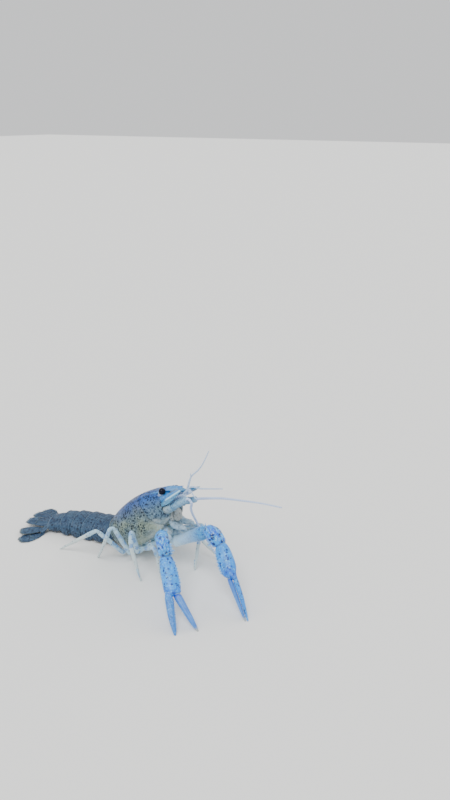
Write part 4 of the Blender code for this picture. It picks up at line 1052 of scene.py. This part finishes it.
joint_skin = Finish("joint_skin", 0.50, 0.1, 0.15)
joint_skin.colour(joint_skin.mix(joint_skin.noise(800.0), (0.08, 0.22, 0.46), (0.20, 0.36, 0.56)))
knob_shell = Finish("knobs", 0.34, 0.2, 0.05)
knob_shell.colour(knob_shell.mix(knob_shell.noise(600.0), (0.06, 0.34, 0.86), (0.40, 0.70, 0.96)))
arm_shell = claw_finish("arm_shell", (0.050, 0.340, 0.760), (0.015, 0.090, 0.380), pale=(0.66, 0.90))
wrist_shell = claw_finish("wrist_shell", (0.040, 0.400, 1.000), (0.003, 0.016, 0.140), 0.95, 520.0,
                          glint=(0.50, 0.84, 1.00))
claw_shell = {side: claw_finish("claw_" + side, (0.028, 0.370, 1.000), (0.004, 0.026, 0.240),
                                0.35, 760.0, tip)
              for side, tip in (("right", 0.70), ("left", 0.15))}
finger_shell = Finish("finger_shell", 0.34, 0.18, 0.05)
cloud = finger_shell.noise(420.0, 4.0, 0.8)
run = finger_shell.own("run")
paint = finger_shell.mix(cloud.sharp(1.8, 0.4), (0.090, 0.330, 0.780), (0.030, 0.150, 0.560))
paint = finger_shell.mix((run.fall(0.05, 0.40) * (cloud + 0.45)).held(), paint, (0.006, 0.060, 0.520))
finger_shell.colour(finger_shell.mix(run.step(0.86, 0.98), paint, (0.40, 0.44, 0.44)))
finger_shell.bump(cloud, 0.00004)

for side, sign in SIDES:
    slim = FINGER_SCALE[side]
    slim_wrist = WRIST_SCALE[side]
    bend, elbow, wrist, fixed_tip, moving_tip = [on_floor_frame(*p) for p in (
        *CHELIPED_JOINTS[side], FIXED_FINGER_TIP[side], MOVING_FINGER_TIP[side])]
    out = belly_normal(COXA_A[1])
    root = carapace_point(COXA_A[1], sign * COXA_B[1], belly_line(COXA_A[1])) + out * GAP
    below = root + out * CLAW_HIP_DROP
    arm_run = (elbow - bend).normalized()
    wrist_run = (wrist - elbow).normalized()
    claw_axis = (fixed_tip - wrist).normalized()
    hint = arm_run.cross(UPWARD)
    elbow_arc = rounded_corner(bend, elbow, wrist, 0.0030, 3)
    path = [root] + rounded_corner(root, below, bend, 0.0022, 3)
    path += rounded_corner(below, bend, elbow, 0.0024, 3)
    path.append(elbow_arc[0] - arm_run * GAP)
    net = refine(tube_rings(path, ARM, 10, hint, out), 5, 6)
    share = shares(net)
    total = sum((q - p).length for p, q in zip(path, path[1:]))
    knee = ((bend - below).length + (below - root).length) / total
    relief = pinch(share, (knee * 0.42, knee * 0.98), 0.00045, 0.016) - 0.00020 * bump_at(share, 0.965, 0.015)
    arm = skin("claw_arm_" + side, net, relief, ramp(share, knee, 0.2))
    roughen(arm, arm_shell, 0.0010, 0.00012, 7)
    hand_over(arm, arm_shell, "claw", "cheliped_%s_arm" % side)

    palm_face = (wrist_run + claw_axis).normalized()
    path = elbow_arc + [wrist - wrist_run * (GAP * 0.5)]
    profile = [(share, half * slim_wrist, thick * slim_wrist) for share, half, thick in WRIST]
    net = refine(tube_rings(path, profile, 10, hint, arm_run, palm_face), 5, 6)
    share = shares(net)
    relief = -0.00035 * bump_at(girth(net), 0.25, 0.035) * ramp(share, 0.25, 0.2) * (share < 0.85)
    carpus = skin("claw_wrist_" + side, net, relief + 0.00014 * bump_at(share, 0.90, 0.05),
                  np.clip(share * 4, 0, 1))
    roughen(carpus, wrist_shell, 0.00085, 0.00016, 9)
    hand_over(carpus, wrist_shell, "claw", "cheliped_%s_wrist" % side)

    palm_start = wrist + claw_axis * (GAP * 0.5)
    inner = moving_tip - fixed_tip if side == "right" else claw_axis.cross(FLAT_FACES)
    inner = (inner - claw_axis * claw_axis.dot(inner)).normalized()
    face = inner.cross(claw_axis)
    palm_length = (fixed_tip - palm_start).length * PALM_SHARE[side]
    fork = palm_start + claw_axis * palm_length
    fixed_shift, moving_shift = FINGER_SHIFT[side]
    rings = []
    for share, half, thick, shift in PALM[side]:
        centre = palm_start + claw_axis * (palm_length * share) + inner * (shift * PALM_SHIFT[side])
        across, upward = inner, face
        if share == 0.0:
            across = (inner - palm_face * palm_face.dot(inner)).normalized()
            upward = across.cross(palm_face)
        rings.append(oval(centre, across, upward, half, thick, 12, 2.2))
    middle = fork.lerp(fixed_tip, 0.5) - inner * (fixed_shift * FINGER_BOW)
    start = fork - inner * fixed_shift
    for share, half, thick in FIXED_FINGER:
        centre = start.lerp(middle, share * 2) if share < 0.5 else middle.lerp(fixed_tip, share * 2 - 1)
        across, upward = inner, face
        if share == 1.0:
            across = (inner - Vector((0.0, 0.0, inner.z))).normalized()
            upward = across.cross(-UPWARD)
        rings.append(oval(centre, across, upward, half * slim, thick, 12))
    net = refine(rings, 5, 8)
    net[..., 2] = np.maximum(net[..., 2], FLOOR_CLEAR)
    share = shares(net)
    finger = ramp(share, 0.52, 0.06) * np.clip((0.985 - share) / 0.05, 0, 1)
    palm = skin("claw_palm_" + side, net, finger * finger_ribs(girth(net), 0.035, 0.07),
                (1.0 - finger) * np.clip(share * 8, 0, 1))
    roughen(palm, claw_shell[side], 0.00095, 0.00016, 13)
    hand_over(palm, claw_shell[side], "claw", "cheliped_%s_palm" % side)

    hinge = fork + inner * moving_shift + claw_axis * GAP
    profile = [(share, half * slim, thick) for share, half, thick in MOVING_FINGER]
    net = refine(tube_rings([hinge, moving_tip], profile, 8, inner, claw_axis, -UPWARD), 6, 10)
    share = shares(net)
    body = np.clip(share / 0.12, 0, 1) * np.clip((0.97 - share) / 0.08, 0, 1)
    mover = skin("claw_finger_" + side, net, body * finger_ribs(girth(net), 0.04, 0.08))
    hand_over(mover, finger_shell, "finger", "cheliped_%s_finger" % side)

    teeth = (TOOTH[0] * slim, TOOTH[1] * slim, 0.1)
    fixed_edge = [fork - inner * (fixed_shift - 0.0013 * slim) + claw_axis * 0.0012,
                  fork.lerp(fixed_tip, 0.5) - inner * (fixed_shift * FINGER_BOW - 0.0012 * slim),
                  fork.lerp(fixed_tip, 0.93) + inner * (0.0005 * slim)]
    rows = stud_row(fixed_edge, inner, 15, *teeth)
    rows += stud_row([hinge.lerp(moving_tip, t) - inner * (aside * slim)
                      for t, aside in ((0.10, 0.0013), (0.5, 0.0011), (0.93, 0.0005))], -inner, 15, *teeth)
    for tilt in (-0.45, 0.0, 0.45):
        lean = (inner + face * tilt).normalized()
        crest = [palm_start + claw_axis * (palm_length * t) + inner * (shift * PALM_SHIFT[side])
                 + lean * (0.0029 * wide)
                 for t, shift, wide in PALM_CREST]
        rows += stud_row(crest, lean, 8, *PALM_KNOB, 0.08)
    for tilt in (-0.6, -0.1, 0.4):
        lean = (inner + face * tilt).normalized()
        crest = [elbow_arc[-1].lerp(wrist, t) + lean * (half * slim_wrist)
                 for t, half in ((0.05, 0.0028), (0.40, 0.0029), (0.85, 0.0026))]
        rows += stud_row(crest, lean, 6, *WRIST_KNOB, 0.10)
    top = hint.cross(arm_run).normalized()
    if top.z < 0.0:
        top = -top
    for back, aside in ARM_SPIKES_AT:
        foot = elbow_arc[0] - arm_run * back + hint.normalized() * aside + top * 0.0020
        rows.append((foot, (arm_run * 0.5 + top).normalized(), *ARM_SPIKE))
    spot = elbow_arc[-1].lerp(wrist, 0.45) + inner * (0.0024 * slim_wrist)
    rows.append((spot, (inner + claw_axis * 0.4).normalized(), *WRIST_SPIKE))
    rows += stud_row([hinge.lerp(moving_tip, t) + inner * (aside * slim)
                      for t, aside in ((0.06, 0.0012), (0.45, 0.0011))], inner, 7, *teeth)
    hairs("claw_knobs_" + side, rows, knob_shell, "claw")

    joints = []
    for spot, run, size in ((elbow_arc[0], arm_run, 0.0018), (wrist, palm_face, 0.0020),
                            (hinge - claw_axis * 0.0002, claw_axis, 0.0013 * slim)):
        across = (hint - run * hint.dot(run)).normalized()
        bead = [(at, size * wide) for at, wide in JOINT_BEAD]
        joints.append(skin("joint", refine(turned(spot, run, across, bead, 10), 3, 3)))
    gather(joints[0], joints[1:]).name = "claw_joints_" + side
    hand_over(joints[0], joint_skin, "claw")


# Walking legs: four pairs of thin jointed legs, pale blue, the first two pairs with tiny pincers.
# Each has a waist at every joint and stiff hairs towards its tip.
# The knee, the ankle and the foot of each leg.
LEG_JOINTS = {
    ("right", 2): ((0.0141, -0.0179, 0.0162), (0.0133, -0.0153, 0.0109), (0.0140, -0.0137)),
    ("right", 3): ((0.0040, -0.0186, 0.0209), (0.0049, -0.0199, 0.0141), (0.0078, -0.0185)),
    ("right", 4): ((-0.0064, -0.0174, 0.0191), (-0.0087, -0.0179, 0.0130), (-0.0168, -0.0146)),
    ("right", 5): ((-0.0152, -0.0163, 0.0133), (-0.0201, -0.0163, 0.0098), (-0.0340, -0.0180)),
    ("left", 2): ((0.0195, 0.0042, 0.0148), (0.0198, 0.0020, 0.0094), (0.0204, -0.0013)),
    ("left", 3): ((0.0174, 0.0092, 0.0140), (0.0174, 0.0082, 0.0072), (0.0300, 0.0080)),
    ("left", 4): ((-0.0080, 0.0180, 0.0150), (-0.0030, 0.0175, 0.0090), (0.0030, 0.0150)),
    ("left", 5): ((-0.0150, 0.0170, 0.0135), (-0.0180, 0.0175, 0.0095), (-0.0260, 0.0200)),
}
UPPER_LEG = ((0.0, 0.0014, 0.0012), (0.08, 0.0014, 0.0012), (0.20, 0.0011, 0.0010),
             (0.36, 0.0009, 0.0008), (0.66, 0.0010, 0.0009), (0.95, 0.0009, 0.0008),
             (1.0, 0.0008, 0.0007))
LOWER_LEG = ((0.0, 0.0007, 0.0006), (0.05, 0.0008, 0.0007), (0.22, 0.0009, 0.0008),
             (0.30, 0.0007, 0.0006), (0.36, 0.0008, 0.0007), (0.62, 0.0007, 0.0006),
             (0.72, 0.0005, 0.0005), (0.88, 0.0004, 0.0004), (1.0, 0.0003, 0.0003))
HIP_DROP = 0.0024
TUCKED_HIP = {("left", 2): (0.0088, 0.0070, 0.0095)}
LEG_HAIRS = 46


def leg_finish(name, patch_from, patch_to, ivory):
    """Pale leg shell with blue patches between two shares of its length; ivory says how warm it is."""
    finish = Finish(name, 0.40, 0.15, 0.06)
    cloud = finish.noise(360.0, 4.0, 0.6)
    fine = finish.noise(1600.0, 3.0)
    run = finish.own("run")
    paint = finish.mix(cloud.sharp(2.0, 0.5), (0.560, 0.740, 0.820), (0.200, 0.440, 0.640))
    paint = finish.mix(run.step(0.35, 0.75) * ivory, paint, (0.620, 0.690, 0.640))
    where = run.step(patch_from, patch_from + 0.1) * run.fall(patch_to - 0.1, patch_to)
    patch = finish.noise(330.0, 2.0).step(0.46, 0.58) * where
    paint = finish.mix(patch * 0.62, paint, (0.030, 0.190, 0.560))
    paint = finish.mix(finish.cells(800.0).step(0.10, 0.26), (0.050, 0.120, 0.250), paint)
    finish.colour(finish.mix(fine.sharp(2.0, 1.0), paint, (0.62, 0.70, 0.74)))
    finish.bump(fine, 0.00003)
    return finish


def off_the_floor(rows):
    """The hairs whose ends stay above the floor."""
    return [row for row in rows if (row[0] + row[1] * row[3]).z > 0.0001]


upper_leg_shell = leg_finish("upper_leg_shell", 0.45, 1.2, 0.0)
lower_leg_shell = leg_finish("lower_leg_shell", -0.2, 0.62, 0.75)
for (side, number), joints in LEG_JOINTS.items():
    sign = dict(SIDES)[side]
    name = "leg_%s_%d" % (side, number)
    a = COXA_A[number]
    out = belly_normal(a)
    root = carapace_point(a, sign * COXA_B[number], belly_line(a)) + out * GAP
    below = root + out * HIP_DROP
    knee, ankle, foot = [on_floor_frame(*p) for p in joints]
    tucked = (side, number) in TUCKED_HIP
    if tucked:
        corner = on_floor_frame(*TUCKED_HIP[(side, number)])
        path = [root] + rounded_corner(root, corner, knee, 0.0016, 3)
    else:
        corner = carapace_point(a, sign * (blend(HALF_WIDTH, a) + 0.0013), blend(EDGE_LINE, a) - 0.0018)
        path = [root] + rounded_corner(root, below, corner, 0.0016, 3)
        path += rounded_corner(below, corner, knee, 0.0016, 3)
    knee_arc = rounded_corner(corner, knee, ankle, 0.0011)
    thigh = (knee - corner).normalized()
    path.append(knee_arc[0] - thigh * GAP)
    hint = (1.0, 0.0, 0.2)
    net = refine(tube_rings(path, UPPER_LEG, 8, hint, out), 4, 5)
    upper = skin(name + "_upper", net, pinch(shares(net), (0.14, 0.32), 0.00025, 0.014))
    path = knee_arc + rounded_corner(knee, ankle, foot, 0.0020, 2) + [foot]
    net = refine(tube_rings(path, LOWER_LEG, 8, hint, thigh, -UPWARD), 4, 5)
    lower = skin(name + "_lower", net, pinch(shares(net), (0.27, 0.67), 0.00016, 0.012, 0.8))
    shin = (foot - ankle).normalized()
    aside = shin.cross(UPWARD).normalized()
    if number in (2, 3):
        claw = [ankle.lerp(foot, share) + aside * away for share, away in ((0.62, 0.0004), (0.95, 0.0006))]
        gather(lower, [skin("pincer", thorn_net(*claw, 0.0004))])
    rows = []
    for i in range(LEG_HAIRS):
        t = 0.45 + 0.52 * wobble.random()
        turn = 6.283 * wobble.random()
        away = aside * math.cos(turn) + aside.cross(shin) * math.sin(turn)
        spot = ankle.lerp(foot, t) + away * 0.00025
        rows.append((spot, (away + shin * 0.8).normalized(), 0.000025, 0.0005 + 0.0004 * wobble.random()))
    hand_over(upper, upper_leg_shell, "leg", name + "_upper")
    hand_over(lower, lower_leg_shell, "leg", name + "_lower")
    hairs("leg_hairs_%s_%d" % (side, number), off_the_floor(rows), hair_pale, "leg")


# Mouth: two jaws that meet in a slit under a swollen lip, between the feeler bases, and the
# frame plate behind them that they hang from; horny shell, pale and grey.
# Each row gives the height, the distance along, the half length and the half width.
JAWS = ((-0.0012, 0.0325, 0.0006, 0.0011), (-0.0022, 0.0323, 0.0007, 0.0018),
        (-0.0032, 0.0319, 0.0007, 0.0023), (-0.0044, 0.0316, 0.0007, 0.0024),
        (-0.0053, 0.0315, 0.0006, 0.0019), (-0.0058, 0.0314, 0.0004, 0.0011))
MOUTH_FRAME = ((0.0004, 0.0307, 0.0007, 0.0030), (-0.0006, 0.0308, 0.0009, 0.0036),
               (-0.0020, 0.0308, 0.0010, 0.0038), (-0.0036, 0.0307, 0.0009, 0.0036),
               (-0.0048, 0.0304, 0.0007, 0.0030))
JAW_FRONT = 0.208  # the share of the girth that faces forward


def horn_finish(name, coat, glow, contrast, dark, light, speck):
    """Horny shell in cloudy shades with small dark specks."""
    finish = Finish(name, 0.42, coat, glow)
    cloud = finish.noise(420.0, 4.0, 0.8)
    paint = finish.mix(cloud.sharp(*contrast), dark, light)
    finish.colour(finish.mix(finish.cells(900.0).step(0.10, 0.28), speck, paint))
    finish.bump(cloud, 0.00005)
    return finish


def mouth_net(rows, around, along):
    return refine([oval(carapace_point(a, 0.0, c), LEFTWARD, FORWARD, half_width, half_length, 12)
                   for c, a, half_length, half_width in rows], around, along)


mouth_shell = horn_finish("mouth_shell", 0.12, 0.08, (2.0, 0.5), (0.300, 0.340, 0.330),
                          (0.480, 0.500, 0.480), (0.040, 0.070, 0.100))
net = mouth_net(JAWS, 5, 6)
share = shares(net)
relief = -0.00035 * bump_at(girth(net), JAW_FRONT, 0.02) * ramp(share, 0.45, 0.1)
relief += 0.00016 * bump_at(girth(net), JAW_FRONT, 0.07) * bump_at(share, 0.34, 0.08)
jaws = skin("jaws", net, relief - 0.00025 * bump_at(share, 0.48, 0.03))
hand_over(skin("mouth_frame", mouth_net(MOUTH_FRAME, 4, 5)), mouth_shell, "head")
hand_over(jaws, mouth_shell, "head", "mouth")


# Mouth feelers: two flattened jointed limbs folded over the mouth, edged with bristles.
# They are horny shell like the legs; the bristles brush food towards the jaws.
FEEDER_ROOT = 0.0292
FEEDER_PATH = ((FEEDER_ROOT, 0.0022, belly_line(FEEDER_ROOT) - GAP), (0.0296, 0.0023, -0.0052),
               (0.0306, 0.0025, -0.0070), (0.0322, 0.0026, -0.0080), (0.0335, 0.0026, -0.0084),
               (0.0343, 0.0025, -0.0092), (0.0344, 0.0024, -0.0101))
FEEDER = ((0.0, 0.0012, 0.0010), (0.12, 0.0014, 0.0009), (0.30, 0.0018, 0.0009),
          (0.55, 0.0017, 0.0009), (0.75, 0.0011, 0.0009), (0.90, 0.0008, 0.0007),
          (1.0, 0.0003, 0.0003))
BRISTLES = 90
feeder_shell = horn_finish("feeder_shell", 0.10, 0.06, (2.2, 0.6), (0.200, 0.340, 0.460),
                           (0.420, 0.540, 0.620), (0.050, 0.110, 0.200))
for side, sign in SIDES:
    path = [carapace_point(a, sign * b, c) for a, b, c in FEEDER_PATH]
    net = refine(tube_rings(path, FEEDER, 8, LEFTWARD, belly_normal(FEEDER_ROOT)), 4, 6)
    feeder = skin("mouth_feeler_" + side, net, pinch(shares(net), (0.20, 0.62, 0.80), 0.00016, 0.02))
    hand_over(feeder, feeder_shell, "leg", "maxilliped_" + side)
    rows = []
    for i in range(BRISTLES):
        t = (0.2 + 0.8 * i / BRISTLES) * (len(path) - 1)
        run = min(int(t), len(path) - 2)
        lean = Vector((0.25, -sign, -0.2)) + Vector(wobble.normal(0, 0.25, 3))
        rows.append((path[run].lerp(path[run + 1], t - run), lean.normalized(), HAIR_RADIUS,
                     0.0016 + 0.0006 * wobble.random()))
    hairs("mouth_bristles_" + side, rows, hair_pale, "leg")


# Abdomen: six arched rings of shell that slide under each other, with side plates that hang
# down and small two-branched swimming limbs below; hard mottled shell, soft skin between.
# Each ring's length, half width and height, and how many degrees it points down and aside.
TAIL_RINGS = ((0.0036, 0.0064, 0.0074, 24.0, 0.0), (0.0062, 0.0072, 0.0085, 9.0, 4.0),
              (0.0060, 0.0074, 0.0086, 2.0, 9.0), (0.0056, 0.0072, 0.0083, 2.0, 14.0),
              (0.0054, 0.0067, 0.0076, 3.0, 18.0), (0.0062, 0.0060, 0.0062, 8.0, 21.0))
TAIL_END = (0.0052, 0.0040)
# Share of a ring's length, which way its edge draws in, its swell, and how low its plates hang.
RING_SHAPE = ((0.0, 1, 0.94, 0.72), (0.22, 0, 0.97, 0.86), (0.5, 0, 1.0, 1.0),
              (0.80, 0, 1.02, 0.92), (1.0, -1, 1.0, 0.74))
SIDE_PLATE = ((0.98, 0.22), (0.88, 0.46), (0.62, 0.30))
PADDLE = ((0.0, 0.0004, 0.0003), (0.4, 0.0006, 0.0003), (0.8, 0.0006, 0.0003), (1.0, 0.0003, 0.0002))
PADDLE_HAIRS = 24


def tail_frames():
    """Joint planes of the abdomen: point, direction, across and up for each."""
    points = [carapace_point(-GAP, 0.0, 0.0004)]
    headings = []
    for length, _, _, sink, swing in TAIL_RINGS:
        tilt = math.radians(sink)
        turn = math.radians(swing)
        headings.append(Vector((-math.cos(turn) * math.cos(tilt), -math.sin(turn) * math.cos(tilt),
                                -math.sin(tilt))))
        points.append(points[-1] + headings[-1] * length)
    planes = [-FORWARD] + [(p + q).normalized() for p, q in zip(headings, headings[1:])] + [headings[-1]]
    frames = []
    for point, along in zip(points, planes):
        across = UPWARD.cross(along).normalized()
        frames.append((point, along, across, along.cross(across)))
    return frames


def tail_ring(point, across, upward, half_width, height, drop):
    """Outline of a ring: an arched back above, side plates and the flat belly below."""
    left = []
    for step in range(5):
        t = 0.5 * math.pi * step / 4
        left.append((half_width * math.sin(t), height * 0.46 * math.cos(t) ** 0.9))
    left += [(half_width * out, -height * low * drop) for out, low in SIDE_PLATE]
    left.append((half_width * 0.30, -height * 0.20))
    outline = left + [(-u, v) for u, v in reversed(left[1:])]
    return [point + across * u + upward * v for u, v in outline]


# Tail shell: mottled dark blue-grey shell, with its colours darkened further as painted shade.
tail_shell = Finish("tail_shell", 0.52, 0.05, 0.05)
cloud = tail_shell.noise(260.0, 4.0, 0.8)
fine = tail_shell.noise(1500.0, 3.0)
spots = tail_shell.cells(820.0).fall(0.22, 0.42) * tail_shell.noise(280.0).step(0.32, 0.48)
blots = tail_shell.noise(520.0, 3.0, 1.6).step(0.50, 0.62)
paint = tail_shell.mix(cloud.sharp(2.2, 0.6), (0.010, 0.034, 0.085), (0.046, 0.100, 0.170))
paint = tail_shell.mix((spots + blots * 0.55).held(), paint, (0.005, 0.014, 0.038))
rim = tail_shell.own("run").step(0.86, 0.97)
paint = tail_shell.mix((rim * (cloud + 0.25)).held(), paint, (0.10, 0.17, 0.25))
tail_shell.colour(tail_shell.mix(fine.sharp(4.0, 2.2) * 0.5, paint, (0.14, 0.22, 0.33)))
tail_shell.bump(fine + spots * 0.6 + blots * 0.3, 0.00005)
fold_skin = Finish("fold_skin", 0.60, 0.0, 0.05)
fold_skin.colour(fold_skin.mix(fold_skin.noise(700.0), (0.012, 0.034, 0.070), (0.045, 0.085, 0.130)))

frames = tail_frames()
folds = []
for number, (_, wide, tall, _, _) in enumerate(TAIL_RINGS, 1):
    last = number == len(TAIL_RINGS)
    p0, _, across0, up0 = frames[number - 1]
    p1, _, across1, up1 = frames[number]
    along = (p1 - p0).normalized()
    next_wide, next_tall = TAIL_END if last else TAIL_RINGS[number][1:3]
    rings = []
    for t, inward, swell, drop in RING_SHAPE:
        late = t if last else max(0.0, t - 0.5)
        if last and t >= 0.5:
            swell = 1.0
        rings.append(tail_ring(p0.lerp(p1, t) + along * (GAP * 0.5 * inward),
                               across0.lerp(across1, t).normalized(), up0.lerp(up1, t).normalized(),
                               (wide + (next_wide - wide) * late) * swell,
                               (tall + (next_tall - tall) * late) * swell, drop))
    net = refine(rings, 5, 10)
    share = shares(net)
    from_top = np.minimum(girth(net), 1.0 - girth(net))
    back = from_top < 0.36
    relief = 0.00022 * (bump_at(share, 0.93, 0.06) - bump_at(share, 0.30, 0.05))
    relief = (relief - 0.00035 * ramp(share, 0.16, -0.16)) * back
    relief -= 0.00020 * bump_at(from_top, 0.24, 0.012) * bump_at(share, 0.62, 0.22)
    plate = skin("tail_ring_%d" % number, net, relief, back * (share > 0.34) * 0.5)
    roughen(plate, tail_shell, 0.0011, 0.00009, 20 + number)
    paddles = []
    rows = []
    for sign in () if last else (-1, 1):
        for spread, reach in ((0.24, 0.0042), (0.50, 0.0038)):
            root = p0.lerp(p1, 0.45) + across0 * (sign * wide * spread) - up0 * (tall * 0.10)
            tip = root - up0 * (tall * 0.30) + along * (reach * 0.75)
            paddles.append(skin("paddle", refine(tube_rings([root, tip], PADDLE, 6, across0), 3, 4)))
            for i in range(PADDLE_HAIRS):
                away = across0 * (1 if i % 2 else -1) + (tip - root).normalized() * 1.2
                rows.append((root.lerp(tip, 0.35 + 0.65 * i / PADDLE_HAIRS), away.normalized(),
                             HAIR_RADIUS, 0.0010 + 0.0004 * wobble.random()))
    hand_over(gather(plate, paddles), tail_shell, "tail", "abdomen_%d" % number)
    rings = [tail_ring(p0 + along * reach, across0, up0, wide * 0.885, tall * 0.885, 0.66)
             for reach in (-0.0007, -0.0003, 0.0003, 0.0007)]
    folds.append(skin("fold", refine(rings, 3, 2)))
    if rows:
        hairs("swim_hairs_%d" % number, off_the_floor(rows), hair_pale, "tail")
neck = [shield_ring(GROOVE_A + reach, GROOVE_LEAN, 0.00055) for reach in (-0.0009, 0.0, 0.0009)]
folds.append(skin("neck", refine(neck, 4, 3)))
gather(folds[0], folds[1:]).name = "soft_folds"
hand_over(folds[0], fold_skin, "tail")


# Tail fan: the middle blade and two blades on each side, thin stiff shell with a raised rib,
# the side blades on short stems. A cross seam with small spines divides the middle and outer
# blades, and soft hairs edge them all.
FAN_THICKNESS = 0.0006
FAN_FALL = 0.20
FAN_SEAM = 0.60
FAN_CLEAR = 0.00012  # room left under a blade for the relief
FRINGE_RADIUS = 0.00004
# Name, distance aside, turn in degrees, level of the lower face and length of each blade, then
# its outline as shares of the length and half widths.
FAN_BLADES = (
    ("telson", 0.0, 0.0, 0.00184, 0.0105,
     ((0.0, 0.0027), (0.20, 0.0031), (0.5, 0.0033), (0.62, 0.0030), (0.86, 0.0027), (1.0, 0.0016))),
    ("uropod_%s_inner", 0.0035, 22.0, 0.00092, 0.0112,
     ((0.0, 0.0004), (0.20, 0.0009), (0.36, 0.0019), (0.55, 0.0025), (0.76, 0.0027),
      (0.93, 0.0021), (1.0, 0.0012))),
    ("uropod_%s_outer", 0.0048, 46.0, 0.0, 0.0118,
     ((0.0, 0.0004), (0.20, 0.0009), (0.36, 0.0019), (0.55, 0.0027), (0.76, 0.0030),
      (0.93, 0.0022), (1.0, 0.0012))),
)
FAN_STEM = ((0.0, 0.0009, 0.0004), (0.15, 0.0012, 0.0006), (0.5, 0.0016, 0.0006),
            (0.85, 0.0015, 0.0005), (1.0, 0.0008, 0.0002))
EDGE_HAIRS = 34  # on each run of an edge
TIP_HAIRS = 48
tail_end, along, across, upward = frames[-1]
flat_along = Vector((along.x, along.y, 0.0)).normalized()
flat_across = UPWARD.cross(flat_along)
fan_hair = hair_finish("fan_hairs", (0.050, 0.090, 0.130), (0.150, 0.200, 0.230))


def fan_root(sign, aside, spread):
    """Where a part of the fan starts, the way it points, and the way across it."""
    turn = math.radians(spread) * sign
    heading = flat_along * math.cos(turn) - flat_across * math.sin(turn)
    return tail_end + along * (GAP * 0.5) - across * (sign * aside), heading, UPWARD.cross(heading)


def fringe_hair(spot, height, away, waver, reach):
    """A hair of the fringe, put at the height of the blade's edge and wavering up or down."""
    spot.z = height
    away = away + UPWARD * wobble.normal(0, waver)
    return spot, away.normalized(), FRINGE_RADIUS, reach + 0.0003 * wobble.random()


for side, sign in SIDES:
    root, heading, lateral = fan_root(sign, 0.0041, 34.0)
    rings = []
    for t, half, thick in FAN_STEM:
        centre = root + heading * (0.0034 * t)
        centre.z = root.z + (0.0010 - root.z) * min(1.0, t * 1.3)
        rings.append(oval(centre, lateral, UPWARD, half, thick, 10, 2.4))
    hand_over(skin("fan_stem_" + side, refine(rings, 4, 5)), tail_shell, "tail")

for name, aside, spread, level, length, outline in FAN_BLADES:
    seamed = not name.endswith("inner")
    edge_height = level + FAN_THICKNESS * 0.5
    for side, sign in reversed(SIDES) if "%s" in name else (("", 0),):
        root, heading, lateral = fan_root(sign, aside, spread)
        rings = []
        for t, half in outline:
            centre = root + heading * (length * t)
            centre.z = root.z + (edge_height - root.z) * min(1.0, t / FAN_FALL)
            facing = (lateral, UPWARD) if t > 0.0 else (across, upward)
            rings.append(oval(centre, *facing, half, FAN_THICKNESS * 0.5, 12, 3.0))
        net = refine(rings, 4, 8)
        net[..., 2] = np.maximum(net[..., 2], level + FAN_CLEAR)
        share = shares(net)
        place = girth(net)
        relief = 0.00010 * bump_at(place, 0.21, 0.03) * ramp(share, 0.95, -0.2)
        relief -= 0.00010 * (bump_at(place, 0.15, 0.02) + bump_at(place, 0.27, 0.02)) * (share > 0.1)
        if seamed:
            relief -= 0.00014 * bump_at(share, FAN_SEAM, 0.02) * (place < 0.5)
        label = name % side if sign else name
        hand_over(skin(label + "_blade", net, relief), tail_shell, "tail", label)
        rows = []
        ends = [(root + heading * (length * t), half) for t, half in outline]
        for edge in (-1, 1):
            for (q0, h0), (q1, h1) in zip(ends[2:], ends[3:]):
                for i in range(EDGE_HAIRS):
                    t = (i + wobble.random()) / EDGE_HAIRS
                    spot = q0.lerp(q1, t) + lateral * (edge * (h0 + (h1 - h0) * t) * 0.97)
                    away = heading * (0.8 + t) + lateral * (edge * 0.7)
                    rows.append(fringe_hair(spot, edge_height, away, 0.05, 0.0008))
        tip, half = ends[-1]
        for i in range(TIP_HAIRS):
            u = -0.95 + 1.9 * (i + wobble.random()) / TIP_HAIRS
            away = heading + lateral * (u * 0.6)
            rows.append(fringe_hair(tip + lateral * (half * u), edge_height, away, 0.04, 0.0009))
        for i in range(9) if seamed else ():
            spot = root + heading * (length * FAN_SEAM) + lateral * (0.0024 * (i - 4) / 4.5)
            spot.z = level + FAN_THICKNESS
            rows.append((spot, (heading + UPWARD * 0.15).normalized(), 0.00014, 0.0007))
        hairs(label + "_fringe", rows, fan_hair, "tail")
